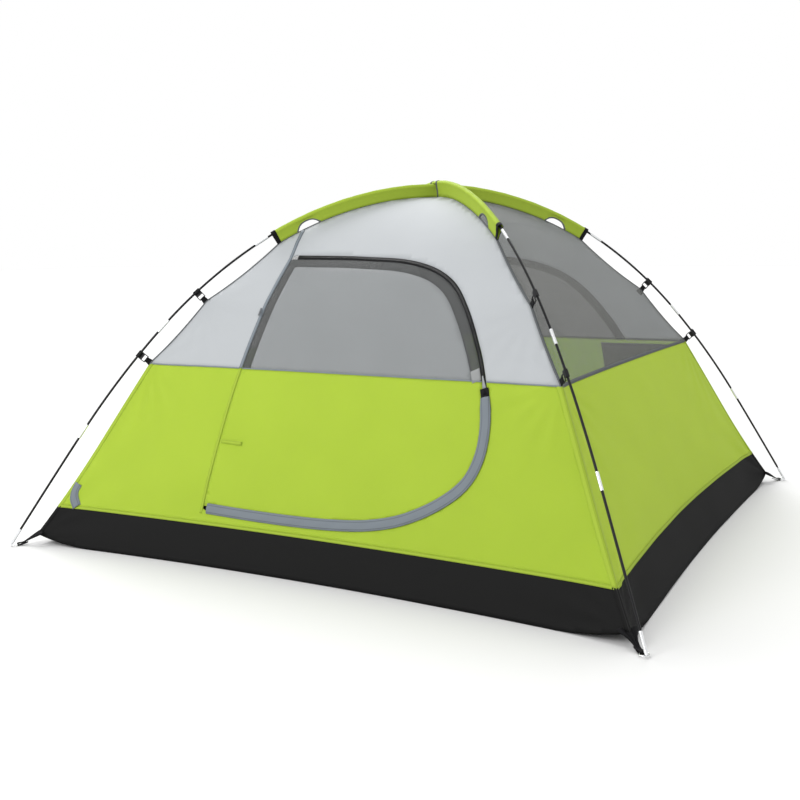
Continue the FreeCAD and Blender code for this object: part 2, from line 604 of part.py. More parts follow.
# ---------------------------------------------------------------- clips and their webbing tabs
tabs = []
for leg in LEGS:
    for index, stop in ((1, "clip_one"), (2, "clip_two")):
        point, tangent, inward, side = leg_frame(leg, size(stop))
        bar_at = point + inward * size("clip_reach")
        width, bar = size("clip_width"), size("bar_diameter") / 2
        tag = "%s_%d" % (leg, index)
        rod = doc.addObject("Part::Cylinder", "clip_bar_" + tag)
        rod.setExpression("Radius", "sizes.bar_diameter / 2")
        rod.setExpression("Height", "sizes.clip_width + 6")
        rod.Placement = framed(bar_at - tangent * (width + 6) / 2, inward, side, tangent)
        pieces = [rod]
        for hand in (-1, 1):
            arm = doc.addObject("Part::Box", "clip_arm_%s_%s" % (tag, "pq"[hand > 0]))
            arm.Length, arm.Width = 3.0, 3.2
            arm.setExpression("Height", "sizes.clip_reach / 2 + 1.6")
            arm.Placement = framed(bar_at + tangent * (hand * (width / 2 + 1.5) - 1.5) - side * 1.6,
                                   tangent, side, -inward)
            pieces.append(arm)
        # the plate climbs past the pole on one side, and a lip curved about the bar covers its top
        reach = size("clip_reach")
        profile_in = reach + size("pole_diameter") / 2 + 0.6
        profile_out = profile_in + 2.8
        lean = size("pole_diameter") / 2 + 0.6

        def spot(radius, sideways):
            return bar_at - inward * math.sqrt(radius ** 2 - sideways ** 2) + side * sideways

        lip_end = lean - 0.8
        outline = [bar_at - inward * 14 + side * 1.6, bar_at - inward * 14 - side * 1.6,
                   bar_at - inward * (reach - 8) - side * (lean + 2.6), spot(profile_out, -(lean + 2.6))]
        edges = [Part.makeLine(a, b) for a, b in zip(outline, outline[1:])]
        edges.append(Part.Arc(spot(profile_out, -(lean + 2.6)), spot(profile_out, -1.0),
                              spot(profile_out, lip_end)).toShape())
        back = [spot(profile_out, lip_end), spot(profile_in, lip_end)]
        edges.append(Part.makeLine(*back))
        inner_arc = Part.Arc(spot(profile_in, lip_end), spot(profile_in, -1.0), spot(profile_in, -lean))
        edges.append(inner_arc.toShape())
        rest = [spot(profile_in, -lean), bar_at - inward * (reach - 5.5) - side * lean, outline[0]]
        edges += [Part.makeLine(a, b) for a, b in zip(rest, rest[1:])]
        profile = Part.Wire(edges)
        profile.translate(-tangent * (width / 2 + 3))
        hook = extruded("clip_hook_" + tag, profile, tangent, "sizes.clip_width + 6")
        publish(fuse("clip_" + tag, pieces + [hook]), "clip_" + tag)
        # webbing: a loop round the bar and a doubled strap down to the ridge
        loop = doc.addObject("Part::Cylinder", "tab_loop_" + tag)
        around_bar = "sizes.bar_diameter / 2 + sizes.bar_clearance + sizes.webbing_thickness"
        loop.setExpression("Radius", around_bar)
        loop.setExpression("Height", "sizes.webbing_width")
        hole = doc.addObject("Part::Cylinder", "tab_hole_" + tag)
        hole.setExpression("Radius", "sizes.bar_diameter / 2 + sizes.bar_clearance")
        hole.setExpression("Height", "sizes.webbing_width + 2")
        loop.Placement = framed(bar_at - tangent * size("webbing_width") / 2, inward, side, tangent)
        hole.Placement = framed(bar_at - tangent * (size("webbing_width") / 2 + 1), inward, side, tangent)
        strap = doc.addObject("Part::Box", "tab_strap_" + tag)
        strap.setExpression("Length", "sizes.webbing_width")
        strap.setExpression("Width", "2 * sizes.webbing_thickness")
        strap.setExpression("Height", "sizes.ridge_gap_clip - sizes.clip_reach - 3")
        strap.Placement = framed(bar_at + inward * 2 - tangent * size("webbing_width") / 2
                                 + side * size("webbing_thickness"), tangent, -side, inward)
        tabs.append(boolean("Cut", "clip_tab_" + tag, fuse("tab_cloth_" + tag, [loop, strap]), hole))
publish(group("clip_tabs", tabs), "clip_tabs")

# ---------------------------------------------------------------- corner straps
straps = []
for leg, (pole, angle) in LEGS.items():
    radial = out_of(angle)
    tail, tangent, inward, side = leg_frame(leg, HALF)
    low = tail + tangent * ((tail.z - size("ring_height")) / -tangent.z)
    eye = low - radial * (2 * size("ring_radius") - 1.1)
    reach, height = ridge_at(size("hem_corner"))
    start = radial * (reach + 3.0) + Vector(0, 0, size("corner_lift") + 6)
    run = eye - start
    length = run.Length
    run.normalize()
    side = Vector(-radial.y, radial.x, 0)
    strap = doc.addObject("Part::Box", "strap_cloth_" + leg)
    strap.setExpression("Length", "%g - 2" % length)
    strap.setExpression("Width", "sizes.webbing_width - 4")
    strap.setExpression("Height", "sizes.webbing_thickness")
    strap.Placement = framed(start - side * (size("webbing_width") - 4) / 2, run, side, run.cross(side))
    loop = doc.addObject("Part::Cylinder", "strap_loop_" + leg)
    loop.Radius = 4.7
    loop.setExpression("Height", "sizes.webbing_width - 4")
    hole = doc.addObject("Part::Cylinder", "strap_hole_" + leg)
    hole.Radius = 3.3
    hole.Height = 30
    loop.Placement = framed(eye - side * (size("webbing_width") - 4) / 2, radial, side.cross(radial), side)
    hole.Placement = framed(eye - side * 15, radial, side.cross(radial), side)
    straps.append(boolean("Cut", "corner_strap_" + leg, fuse("strap_body_" + leg, [strap, loop]), hole))
publish(group("corner_straps", straps), "corner_straps")


# ---------------------------------------------------------------- groundsheet
FLOOR_INSET = 4.0       # the floor stops inside the tub band
CORNERS = ("front_right", "rear_right", "rear_left", "front_left")
RIM_STOPS = (-0.76, -0.5, -0.2, 0.2, 0.5, 0.76)


def rim_point(side, u):
    """A point of the floor's edge, at a share of a wall's half width."""
    reach, row = ridge_at(size("hem_corner"))
    half = reach * (math.cos(PHI) if side in ("front", "rear") else math.sin(PHI)) - FLOOR_INSET
    point = side_point(side, u * half, 0.0, row) - out_of(math.radians(SIDES[side])) * FLOOR_INSET
    return Vector(point.x, point.y, 0)


rim = [rim_point(side, hand * u) for side, hand in (("front", 1), ("right", 1), ("rear", -1), ("left", -1))
       for u in RIM_STOPS]
floor_pieces = [extruded("floor_plate", Part.makePolygon(rim + rim[:1]), Vector(0, 0, 1), "sizes.fabric")]
for k, leg in enumerate(CORNERS):
    last = len(RIM_STOPS) * (k + 1) - 1
    first, second = rim[last], rim[(last + 1) % len(rim)]
    tip = out_of(LEGS[leg][1]) * (ridge_at(size("hem_corner"))[0] - 3 * FLOOR_INSET)
    tip.z = size("corner_lift") - 2
    corner = Part.makePolygon([first, tip, second, first])
    floor_pieces.append(extruded("floor_gusset_" + leg, corner, Vector(0, 0, 1), "sizes.fabric"))
publish(fuse("groundsheet", floor_pieces), "groundsheet")


# ---------------------------------------------------------------- zip slider, pull, toggle and tie-back
def wall_frame(side, across, height):
    point, normal = side_point(side, across, height), side_normal(side, across, height)
    along = side_point(side, across + 1, height) - point
    along = along - normal * along.dot(normal)
    along.normalize()
    return point, along, normal.cross(along), normal


slider_at = PATH[flap_start - 2]
ahead = PATH[flap_start - 7]
point, along, up, normal = wall_frame("front", *slider_at)
heading = side_point("front", *ahead) - point
heading = heading - normal * heading.dot(normal)
heading.normalize()
cross = normal.cross(heading)
slider = doc.addObject("Part::Box", "zip_slider_plate")
plate_corner = heading * (size("slider_length") / 2) + cross * (size("slider_width") / 2)
slider.setExpression("Length", "sizes.slider_length")
slider.setExpression("Width", "sizes.slider_width")
slider.Height = 2.6
slider.Placement = framed(point + normal * size("slider_lift") - plate_corner, heading, cross, normal)
bridge = doc.addObject("Part::Box", "zip_slider_bridge")
bridge.Length, bridge.Width, bridge.Height = 12, 3, 4.4
bridge.Placement = framed(point + normal * 3.4 - heading * 6 - cross * 1.5, heading, cross, normal)
eye = doc.addObject("Part::Cylinder", "zip_slider_eye")
eye.Radius, eye.Height = 1.3, 20
axle_at = point + normal * size("eye_lift")
eye.Placement = framed(axle_at - cross * 10, heading, -normal, cross)
publish(boolean("Cut", "zip_slider", fuse("zip_slider_body", [slider, bridge]), eye), "zip_slider")

down = -up
down = down - cross * down.dot(cross)
down.normalize()
face_out = down.cross(cross)
face_out = face_out if face_out.dot(normal) > 0 else -face_out
broad = face_out.cross(down)
axle = doc.addObject("Part::Cylinder", "zip_pull_axle")
axle.Radius, axle.Height = 1.24, 11
axle.Placement = framed(axle_at - cross * 5.5, heading, cross.cross(heading), cross)
blade = []
for hand in (-1, 1):
    cheek = doc.addObject("Part::Box", "zip_pull_cheek_" + "pq"[hand > 0])
    cheek.Length, cheek.Width, cheek.Height = 12, 2, 2
    cheek.Placement = framed(axle_at + broad * (hand * 4.5 - 1) - face_out - down, down, broad, face_out)
    blade.append(cheek)
tab = doc.addObject("Part::Box", "zip_pull_blade")
tab.setExpression("Length", "sizes.pull_length")
tab.setExpression("Width", "sizes.pull_width")
tab.setExpression("Height", "sizes.pull_thickness")
blade_corner = broad * (size("pull_width") / 2) + face_out * (size("pull_thickness") / 2)
tab.Placement = framed(axle_at + down * 10 - blade_corner, down, broad, face_out)
publish(fuse("zip_pull", [axle] + blade + [tab]), "zip_pull")

point, along, up, normal = wall_frame("front", hinge_x(852.0) - 8.0, 852.0)
stem = doc.addObject("Part::Cylinder", "toggle_stem")
stem.Radius, stem.Height = 1.2, 6
stem.Placement = framed(point + normal * 3.0, along, up, normal)
knob = doc.addObject("Part::Cylinder", "toggle_bar")
knob.Radius, knob.Height = 3.4, 30
knob.Placement = framed(point + normal * 11 - up * 15, along, -normal, up)
publish(fuse("tie_back_toggle", [stem, knob]), "tie_back_toggle")

loop_path = [(-404.0, 415.0), (-380.0, 414.0), (-350.0, 413.0), (-316.0, 412.0)]
band("tie_back_loop", "front", loop_path, (-6.0, 6.0), (0.8, 3.0))
stop = [(hinge_x(1046.0) + 14.0 + k, 1066.0) for k in (0.0, 10.0, 20.0, 30.0)]
end_tab = feature("zip_end_tab", band_shape("front", stop, -7.0, 7.0, 1.0, 2.6))
publish(group("zip_wall_side", [zip_tape, end_tab]), "zip_wall_side")

# ---------------------------------------------------------------- checks and export
doc.recompute()
bad = [o.Name for o in doc.Objects if "Invalid" in o.State or "Error" in o.State]
for obj in parts:
    shape = obj.Shape
    if shape.isNull() or not shape.isValid() or not shape.Solids:
        bad.append(obj.Label)
print("nodes", len(parts))
for obj in parts:
    if obj.Label in bad:
        continue
    box = obj.Shape.optimalBoundingBox()
    print("%-26s solids %2d volume %9.0f  x %7.1f %7.1f  y %7.1f %7.1f  z %7.1f %7.1f" % (
        obj.Label, len(obj.Shape.Solids), obj.Shape.Volume, box.XMin, box.XMax, box.YMin, box.YMax,
        box.ZMin, box.ZMax))
if bad:
    raise SystemExit("failed: " + ", ".join(sorted(set(bad))))
os.makedirs("parts", exist_ok=True)
for obj in parts:
    obj.Shape.exportStep(os.path.join("parts", obj.Label + ".step"))
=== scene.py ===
"""Pitched dome tent: cloth, webbing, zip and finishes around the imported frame. Units are metres.

Every wall is described in its own flat cut: across (along the wall, +X or +Y) and height.
place() puts a point of the cut on the pitched wall, so seams, bands and door share one surface.
"""
from math import cos, pi, radians, sin

import bpy
import numpy as np
from mathutils import Matrix, Vector
from mathutils.geometry import delaunay_2d_cdt


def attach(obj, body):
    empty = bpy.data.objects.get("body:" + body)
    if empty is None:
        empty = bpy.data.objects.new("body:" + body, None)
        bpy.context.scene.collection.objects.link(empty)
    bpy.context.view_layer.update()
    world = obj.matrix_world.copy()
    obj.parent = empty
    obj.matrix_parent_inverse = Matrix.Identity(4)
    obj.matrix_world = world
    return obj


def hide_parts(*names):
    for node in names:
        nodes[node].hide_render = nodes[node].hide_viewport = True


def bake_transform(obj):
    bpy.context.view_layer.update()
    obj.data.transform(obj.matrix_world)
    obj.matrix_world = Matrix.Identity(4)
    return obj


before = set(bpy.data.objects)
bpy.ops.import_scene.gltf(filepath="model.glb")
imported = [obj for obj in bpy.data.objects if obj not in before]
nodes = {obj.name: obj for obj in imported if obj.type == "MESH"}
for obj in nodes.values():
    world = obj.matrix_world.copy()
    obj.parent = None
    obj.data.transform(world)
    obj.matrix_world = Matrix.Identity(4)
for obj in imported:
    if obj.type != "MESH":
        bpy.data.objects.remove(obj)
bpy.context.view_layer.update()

# ---------------- camera, light and floor
SENSOR, LENS, FAR = 36.0, 46.61, 60
CAMERA_PLACE = (1.8694, -3.7745, 1.0950)
CAMERA_AXES = ((0.88017, 0.47448, -0.01264), (-0.05938, 0.13650, 0.98886),
               (0.47092, -0.86962, 0.14832))        # right, up and back
KEY_PLACE, KEY_AIM, KEY_SIZE, KEY_POWER = Vector((-1.6, -5.2, 3.6)), Vector((0, 0, 0.4)), 3.0, 150
SKY_TOWARD, SKY_SPREAD, SKY_POWER = Vector((-0.52, 0.55, 0.66)), radians(45), 3.0
FLOOR_HALF, FLOOR_DROP, FLOOR_TONE, FLOOR_ROUGH = 40.0, 0.0006, 0.63, 0.95


def new_object(name, data):
    """A new object in the scene."""
    obj = bpy.data.objects.new(name, data)
    bpy.context.scene.collection.objects.link(obj)
    return obj


def shader_of(name):
    material = bpy.data.materials.new(name)
    material.use_nodes = True
    return material, material.node_tree, material.node_tree.nodes["Principled BSDF"]


def set_inputs(node, values):
    for key, value in values.items():
        node.inputs[key].default_value = value


def add_camera():
    data = bpy.data.cameras.new("camera")
    data.sensor_width, data.lens, data.clip_end = SENSOR, LENS, FAR
    camera = new_object("camera", data)
    turn = Matrix(CAMERA_AXES).transposed().to_4x4()
    camera.matrix_world = Matrix.Translation(CAMERA_PLACE) @ turn
    bpy.context.scene.camera = camera


def add_light(name, kind, direction, track, place=(0, 0, 0), **settings):
    data = bpy.data.lights.new(name, kind)
    for key, value in settings.items():
        setattr(data, key, value)
    lamp = new_object(name, data)
    lamp.location = place
    lamp.rotation_euler = direction.to_track_quat(track, "Y").to_euler()


def add_surroundings():
    world = bpy.data.worlds.new("studio")
    world.use_nodes = True
    set_inputs(world.node_tree.nodes["Background"], {"Color": (1, 1, 1, 1), "Strength": 1.0})
    bpy.context.scene.world = world
    bpy.context.scene.view_settings.view_transform = "Standard"
    add_light("key", "AREA", KEY_AIM - KEY_PLACE, "-Z", KEY_PLACE, shape="SQUARE", size=KEY_SIZE,
              energy=KEY_POWER)
    add_light("sky", "SUN", SKY_TOWARD, "Z", angle=SKY_SPREAD, energy=SKY_POWER)


def add_floor():
    mesh = bpy.data.meshes.new("floor")
    corners = [(x * FLOOR_HALF, y * FLOOR_HALF, 0) for x, y in ((-1, -1), (1, -1), (1, 1), (-1, 1))]
    mesh.from_pydata(corners, [], [(0, 1, 2, 3)])
    floor = new_object("floor", mesh)
    floor.location.z = -FLOOR_DROP
    paint, _, shader = shader_of("floor_paper")
    set_inputs(shader, {"Base Color": (FLOOR_TONE,) * 3 + (1,), "Roughness": FLOOR_ROUGH})
    mesh.materials.append(paint)


add_camera()
add_surroundings()
add_floor()

# ---------------- pole curves, as in the frame
SECTION = 0.495
LENGTHS = (SECTION / 2,) + (SECTION,) * 4       # of one leg, from the crown to the foot
TURNS = (11.6, 20.0, 14.8, 8.4, 0.9)            # degrees that each of them bends
HALF = sum(LENGTHS)
FOOT = 0.009                                    # height of a pole's end
PHI = radians(44.31)                       # the poles' angle to X, seen from above
BEND = {"a": 1.008, "b": 1.020}                 # each pole's share of the bend
BEND_MEAN = (BEND["a"] + BEND["b"]) / 2
LEGS = {"front_left": ("a", pi + PHI), "rear_right": ("a", PHI),
        "front_right": ("b", -PHI), "rear_left": ("b", pi - PHI)}
SLEEVE_END, CLIP_TWO, CLIP_ONE, HEM_CORNER = 0.692, 1.0575, 1.376, 2.155    # along a leg
TUB, SEAM = 0.140, 0.662                        # heights of the tub's edge and the walls' seam


def walk(arc, bend):
    """How far out and down a leg has run at this arc, and its slope there."""
    reach = drop = slope = 0.0
    for length, turn in zip(LENGTHS, TURNS):
        run = min(arc, length)
        rho = length / radians(turn * bend)
        step = run / rho
        reach += rho * (sin(slope + step) - sin(slope))
        drop += rho * (cos(slope) - cos(slope + step))
        slope += step
        arc -= run
        if arc <= 1e-9:
            break
    return reach, drop, slope


def pole_at(arc, bend):
    reach, drop, slope = walk(arc, bend)
    return reach, FOOT + walk(HALF, bend)[1] - drop, slope


def out_of(angle):
    return Vector((cos(angle), sin(angle), 0))


def leg_frame(leg, arc):
    """Point, outward tangent, inward normal and sideways direction on a leg's pole."""
    pole, angle = LEGS[leg]
    reach, height, slope = pole_at(arc, BEND[pole])
    radial = out_of(angle)
    tangent = radial * cos(slope) - Vector((0, 0, sin(slope)))
    inward = -(radial * sin(slope) + Vector((0, 0, cos(slope))))
    return radial * reach + Vector((0, 0, height)), tangent, inward, tangent.cross(inward)


# ---------------- the pitched surface
GAP_CROWN = 0.047                               # from the poles in to the cloth, at the crown
# arc, gap from pole to ridge, and the ridge's sag over the stretch that follows
RIDGE_KNOTS = ((0.0, GAP_CROWN, 0.0), (SLEEVE_END, 0.045, 0.017), (CLIP_TWO, 0.050, 0.012),
               (CLIP_ONE, 0.050, 0.020), (HEM_CORNER, 0.056, 0.0))
TAUT_MORE, TAUT_ARC = 0.013, 0.9                # a wall's middle hangs in further by this
TAUT_LESS, TAUT_FOOT = 0.004, 1.9               # and comes out again below this arc
EDGE_ROWS = 432
HEM_BOW, BOW_HEIGHT, SIDE_FLARE = 0.062, 0.9, 0.034
HEM_CLEAR, CORNER_LIFT, LIFT_FROM, LIFT_RUN = 0.004, 0.036, 0.78, 0.22
HEM_TOP_ARC = 1.880                             # the corners' lift is gone above this arc
OUTWARD = {"front": (0, -1, 0), "right": (1, 0, 0), "rear": (0, 1, 0), "left": (-1, 0, 0)}


def ridge_gap(arc):
    for (a0, g0, sag), (a1, g1, _) in zip(RIDGE_KNOTS, RIDGE_KNOTS[1:]):
        if arc <= a1 + 1e-9:
            t = (arc - a0) / (a1 - a0)
            return g0 + (g1 - g0) * t + sag * 4 * t * (1 - t)
    return RIDGE_KNOTS[-1][1]


def taut_gap(arc):
    gap = GAP_CROWN + TAUT_MORE * sin(pi / 2 * min(1.0, arc / TAUT_ARC))
    return gap - TAUT_LESS * max(0.0, (arc - TAUT_FOOT) / (HEM_CORNER - TAUT_FOOT))


def edge_line(gap):
    """Rows of height, reach from the centre and arc, from the hem up to the crown."""
    line = []
    for arc in np.linspace(0.0, HEM_CORNER, EDGE_ROWS):
        reach, height, slope = pole_at(arc, BEND_MEAN)
        line.append((height - gap(arc) * cos(slope), reach - gap(arc) * sin(slope), arc))
    return np.array(line[::-1])


RIDGE, TAUT = edge_line(ridge_gap), edge_line(taut_gap)
CREST = float(RIDGE[-1, 0])
HEM_FOOT = float(RIDGE[0, 0])
HEM_TOP = float(RIDGE[np.argmin(abs(RIDGE[:, 2] - HEM_TOP_ARC)), 0])


def span(side):
    """How a leg's reach splits into a wall's half width and its distance from the centre."""
    split = cos(PHI), sin(PHI)
    return split if side in ("front", "rear") else split[::-1]


def half_width(side, height):
    return np.interp(height, RIDGE[:, 0], RIDGE[:, 1]) * span(side)[0]


def lifted_half_width(side, height):
    """Half width where the corner lifts the cloth: the ridge's own level at the wall's edge."""
    hem = hem_level(1.0)
    low = HEM_FOOT + (height - hem) / (HEM_TOP - hem) * (HEM_TOP - HEM_FOOT)
    return half_width(side, np.where(height < HEM_TOP, low, height))


def bow(side, height):
    """How far the middle of a wall hangs in: the side walls' tub spreads out again at the foot."""
    inward = HEM_BOW * np.clip(1 - height / BOW_HEIGHT, 0, None) ** 1.6
    if side in ("left", "right"):
        inward = inward - SIDE_FLARE * np.clip(1 - height / TUB, 0, None)
    return inward


def hem_level(u):
    """The hem lies on the ground and lifts at the corners, where the rings hold it up."""
    return HEM_CLEAR + CORNER_LIFT * np.clip((np.abs(u) - LIFT_FROM) / LIFT_RUN, 0, 1) ** 2


def bare(side, across, height):
    """A wall without its unevenness: from u = 0 in its middle to u = 1 at its ridge."""
    along, depth = span(side)
    level = height
    for _ in range(4):      # the level decides the width, and the width decides the level
        edge = np.interp(level, RIDGE[:, 0], RIDGE[:, 1])
        u = np.minimum(1.0, np.abs(across) / np.maximum(edge * along, 1e-4))
        hem = hem_level(u)
        up = np.clip((height - hem) / (HEM_TOP - hem), 0, 1)
        level = np.where(height < HEM_TOP, HEM_FOOT + up * (HEM_TOP - HEM_FOOT), height)
    taut = np.interp(level, TAUT[:, 0], TAUT[:, 1])
    out = depth * (taut + (edge - taut) * u ** 4) - bow(side, height) * (1 - u ** 2)
    if side in ("front", "rear"):
        return np.stack([across, out * (-1 if side == "front" else 1), height], -1)
    return np.stack([out * (1 if side == "right" else -1), across, height], -1)


def normals(side, across, height, reach=0.002, lowest=0.02):
    low = np.maximum(height - reach, lowest)
    high = np.minimum(height + reach, CREST - 1e-4)
    run = bare(side, across + reach, height) - bare(side, across - reach, height)
    n = np.cross(run, bare(side, across, high) - bare(side, across, low))
    n /= np.maximum(np.linalg.norm(n, axis=-1, keepdims=True), 1e-12)
    toward = np.array(OUTWARD[side]) + np.array((0, 0, 0.3))
    return n * np.where(n @ toward < 0, -1.0, 1.0)[..., None]


SEEDS = {"front": 0.4, "right": 2.1, "rear": 3.7, "left": 5.0}
BILLOW, RIPPLE = 0.0016, 0.0010
PULLS = ((0.045, 0.0048, 0.26), (SEAM + 0.01, 0.0030, 0.17), (0.885, 0.0026, 0.13))
FOLDS, FOLD_START, EDGE_FADE = 15, 0.10, 0.04


def fan(across, height, corner, reach, phase):
    """Folds that run out from a point the cloth is pulled to."""
    dx, dz = across - corner[0], height - corner[1]
    distance = np.hypot(dx, dz)
    grow = np.clip(distance / FOLD_START, 0, 1) ** 1.5
    return np.sin(FOLDS * np.arctan2(dz, dx) + phase) * grow * np.exp(-distance / reach)


def relief(side, across, height):
    """Unevenness of stretched cloth: broad billows, and folds from the corners and clips."""
    seed = SEEDS[side]
    total = BILLOW * np.sin(6.1 * across + seed) * np.sin(7.3 * height + 2 * seed)
    total += (RIPPLE * np.sin(15.7 * across + 9.1 * height + seed)
              * np.cos(11.9 * height - 3.1 * across))
    for hand in (-1, 1):
        for level, size, reach in PULLS:
            corner = (hand * float(half_width(side, level)), level)
            total += size * fan(across, height, corner, reach, seed + level * 9)
    return total * np.clip((half_width(side, height) - np.abs(across)) / EDGE_FADE, 0, 1)


def place(side, across, height, lift=0.0):
    across, height = np.asarray(across, float), np.asarray(height, float)
    normal = normals(side, across, height)
    away = relief(side, across, height) + lift
    return bare(side, across, height) + normal * away[..., None]


# ---------------- materials
def add(tree, kind, **settings):
    made = tree.nodes.new(kind)
    for key, value in settings.items():
        if key in made.inputs:
            made.inputs[key].default_value = value
        else:
            setattr(made, key, value)
    return made


def feed(tree, sockets, values):
    """Gives each socket its number or colour, or links it to the output given."""
    for socket, value in zip(sockets, values):
        if isinstance(value, (int, float, tuple)):
            socket.default_value = value
        else:
            tree.links.new(value, socket)


def maths(tree, operation, *values):
    made = add(tree, "ShaderNodeMath", operation=operation)
    feed(tree, made.inputs, values)
    return made.outputs[0]


def mixed(tree, share, first, second):
    """From the first colour to the second, as share goes from 0 to 1."""
    made = add(tree, "ShaderNodeMix", data_type="RGBA")
    feed(tree, (made.inputs[0], made.inputs[6], made.inputs[7]), (share, first, second))
    return made.outputs[2]


def noise(tree, where, **settings):
    made = add(tree, "ShaderNodeTexNoise", **settings)
    tree.links.new(where, made.inputs["Vector"])
    return made.outputs["Fac"]


def add_bump(tree, shader, height, strength, distance):
    made = add(tree, "ShaderNodeBump", Strength=strength, Distance=distance)
    tree.links.new(height, made.inputs["Height"])
    tree.links.new(made.outputs["Normal"], shader.inputs["Normal"])


def tinted(colour, share):
    return tuple(min(1.0, c * share) for c in colour)


def opaque(colour, share=1.0):
    return tinted(colour, share) + (1,)


def threads(tree, across, pitch):
    """0 to 1 across threads of this pitch, along one coordinate."""
    wave = maths(tree, "SINE", maths(tree, "MULTIPLY", across, 2 * pi / pitch))
    return maths(tree, "MULTIPLY_ADD", wave, 0.5, 0.5)


def cut_coordinates(tree):
    """Along and across the piece's own cut, in metres."""
    uv = add(tree, "ShaderNodeUVMap", uv_map="cut")
    split = add(tree, "ShaderNodeSeparateXYZ")
    tree.links.new(uv.outputs["UV"], split.inputs[0])
    return uv.outputs["UV"], split.outputs[0], split.outputs[1]


STITCH, STITCH_SHARE, THREAD_HALF = 0.0042, 0.66, 0.00055
PRESSED_HALF, PRESSED_DEPTH = 0.0016, 0.55


def stitch_mask(tree, along, across, rows):
    """Dashes of thread in a pressed line, at the given distances across."""
    turn = maths(tree, "FRACT", maths(tree, "DIVIDE", along, STITCH))
    dash = maths(tree, "LESS_THAN", turn, STITCH_SHARE)
    mask = None
    for row in rows:
        near = maths(tree, "ABSOLUTE", maths(tree, "SUBTRACT", across, row))
        thread = maths(tree, "MULTIPLY", maths(tree, "LESS_THAN", near, THREAD_HALF), dash)
        pressed = maths(tree, "LESS_THAN", near, PRESSED_HALF)
        line = maths(tree, "MAXIMUM", thread, maths(tree, "MULTIPLY", pressed, PRESSED_DEPTH))
        mask = line if mask is None else maths(tree, "MAXIMUM", mask, line)
    return mask


WEAVE_TONE, CLOUD_TONE, TONE_FLOOR = 0.35, 0.85, 0.05
SLUB_HEIGHT, STITCH_HEIGHT = 0.5, 1.5


def cloth(name, colour, rough=0.62, pitch=0.0011, weave=0.35, tone=0.05, rows=(),
                   thread=0.72, specular=0.08, glow=0.0, depth=0.0015):
    """Woven cloth with cloudy tone and rows of stitches. Light passes through it by glow."""
    material, tree, shader = shader_of(name)
    uv, along, across = cut_coordinates(tree)
    cell = maths(tree, "MULTIPLY", threads(tree, along, pitch), threads(tree, across, pitch))
    cloud = noise(tree, uv, Scale=5.0, Detail=5.0, Roughness=0.55)
    slub = noise(tree, uv, Scale=420.0, Detail=2.0)
    share = maths(tree, "ADD", maths(tree, "MULTIPLY_ADD", cell, WEAVE_TONE, TONE_FLOOR),
                  maths(tree, "MULTIPLY", cloud, CLOUD_TONE))
    base = mixed(tree, share, opaque(colour, 1 - 1.6 * tone), opaque(colour, 1 + tone))
    height = maths(tree, "ADD", cell, maths(tree, "MULTIPLY", slub, SLUB_HEIGHT))
    if rows:
        mask = stitch_mask(tree, along, across, rows)
        base = mixed(tree, mask, base, opaque(colour, thread))
        height = maths(tree, "SUBTRACT", height, maths(tree, "MULTIPLY", mask, STITCH_HEIGHT))
    tree.links.new(base, shader.inputs["Base Color"])
    add_bump(tree, shader, height, weave, 0.0003)
    set_inputs(shader, {"Roughness": rough, "Specular IOR Level": specular,
                        "Subsurface Weight": glow, "Subsurface Radius": (1.0, 1.0, 1.0),
                        "Subsurface Scale": depth})
    return material


def net(name, colour, pitch=0.0015, cover=0.20, hole=0.3):
    """See-through mesh: fine threads, and holes that let most of the light by."""
    material, tree, shader = shader_of(name)
    uv, along, across = cut_coordinates(tree)
    cloud = noise(tree, uv, Scale=4.0, Detail=4.0)
    base = mixed(tree, cloud, opaque(colour, 0.92), opaque(colour, 1.06))
    tree.links.new(base, shader.inputs["Base Color"])
    warp, weft = (maths(tree, "LESS_THAN", threads(tree, way, pitch), cover)
                  for way in (along, across))
    solid = maths(tree, "MULTIPLY_ADD", maths(tree, "MAXIMUM", warp, weft), 1 - hole, hole)
    tree.links.new(solid, shader.inputs["Alpha"])
    set_inputs(shader, {"Roughness": 0.8, "Specular IOR Level": 0.2})
    return material


GLOSS_SPREAD = 0.16


def hard(name, colour, rough, metallic=0.0, grain=0.15, scale=900.0, specular=0.2):
    """Moulded plastic, drawn steel or a wrapped rod, with fine grain."""
    material, tree, shader = shader_of(name)
    where = add(tree, "ShaderNodeTexCoord").outputs["Object"]
    wear = noise(tree, where, Scale=35.0, Detail=4.0)
    tree.links.new(mixed(tree, wear, opaque(colour, 0.82), opaque(colour, 1.12)),
                   shader.inputs["Base Color"])
    gloss = maths(tree, "MULTIPLY_ADD", wear, GLOSS_SPREAD, rough - GLOSS_SPREAD / 2)
    tree.links.new(gloss, shader.inputs["Roughness"])
    set_inputs(shader, {"Metallic": metallic, "Specular IOR Level": specular})
    add_bump(tree, shader, noise(tree, where, Scale=scale, Detail=3.0), grain, 0.0002)
    return material


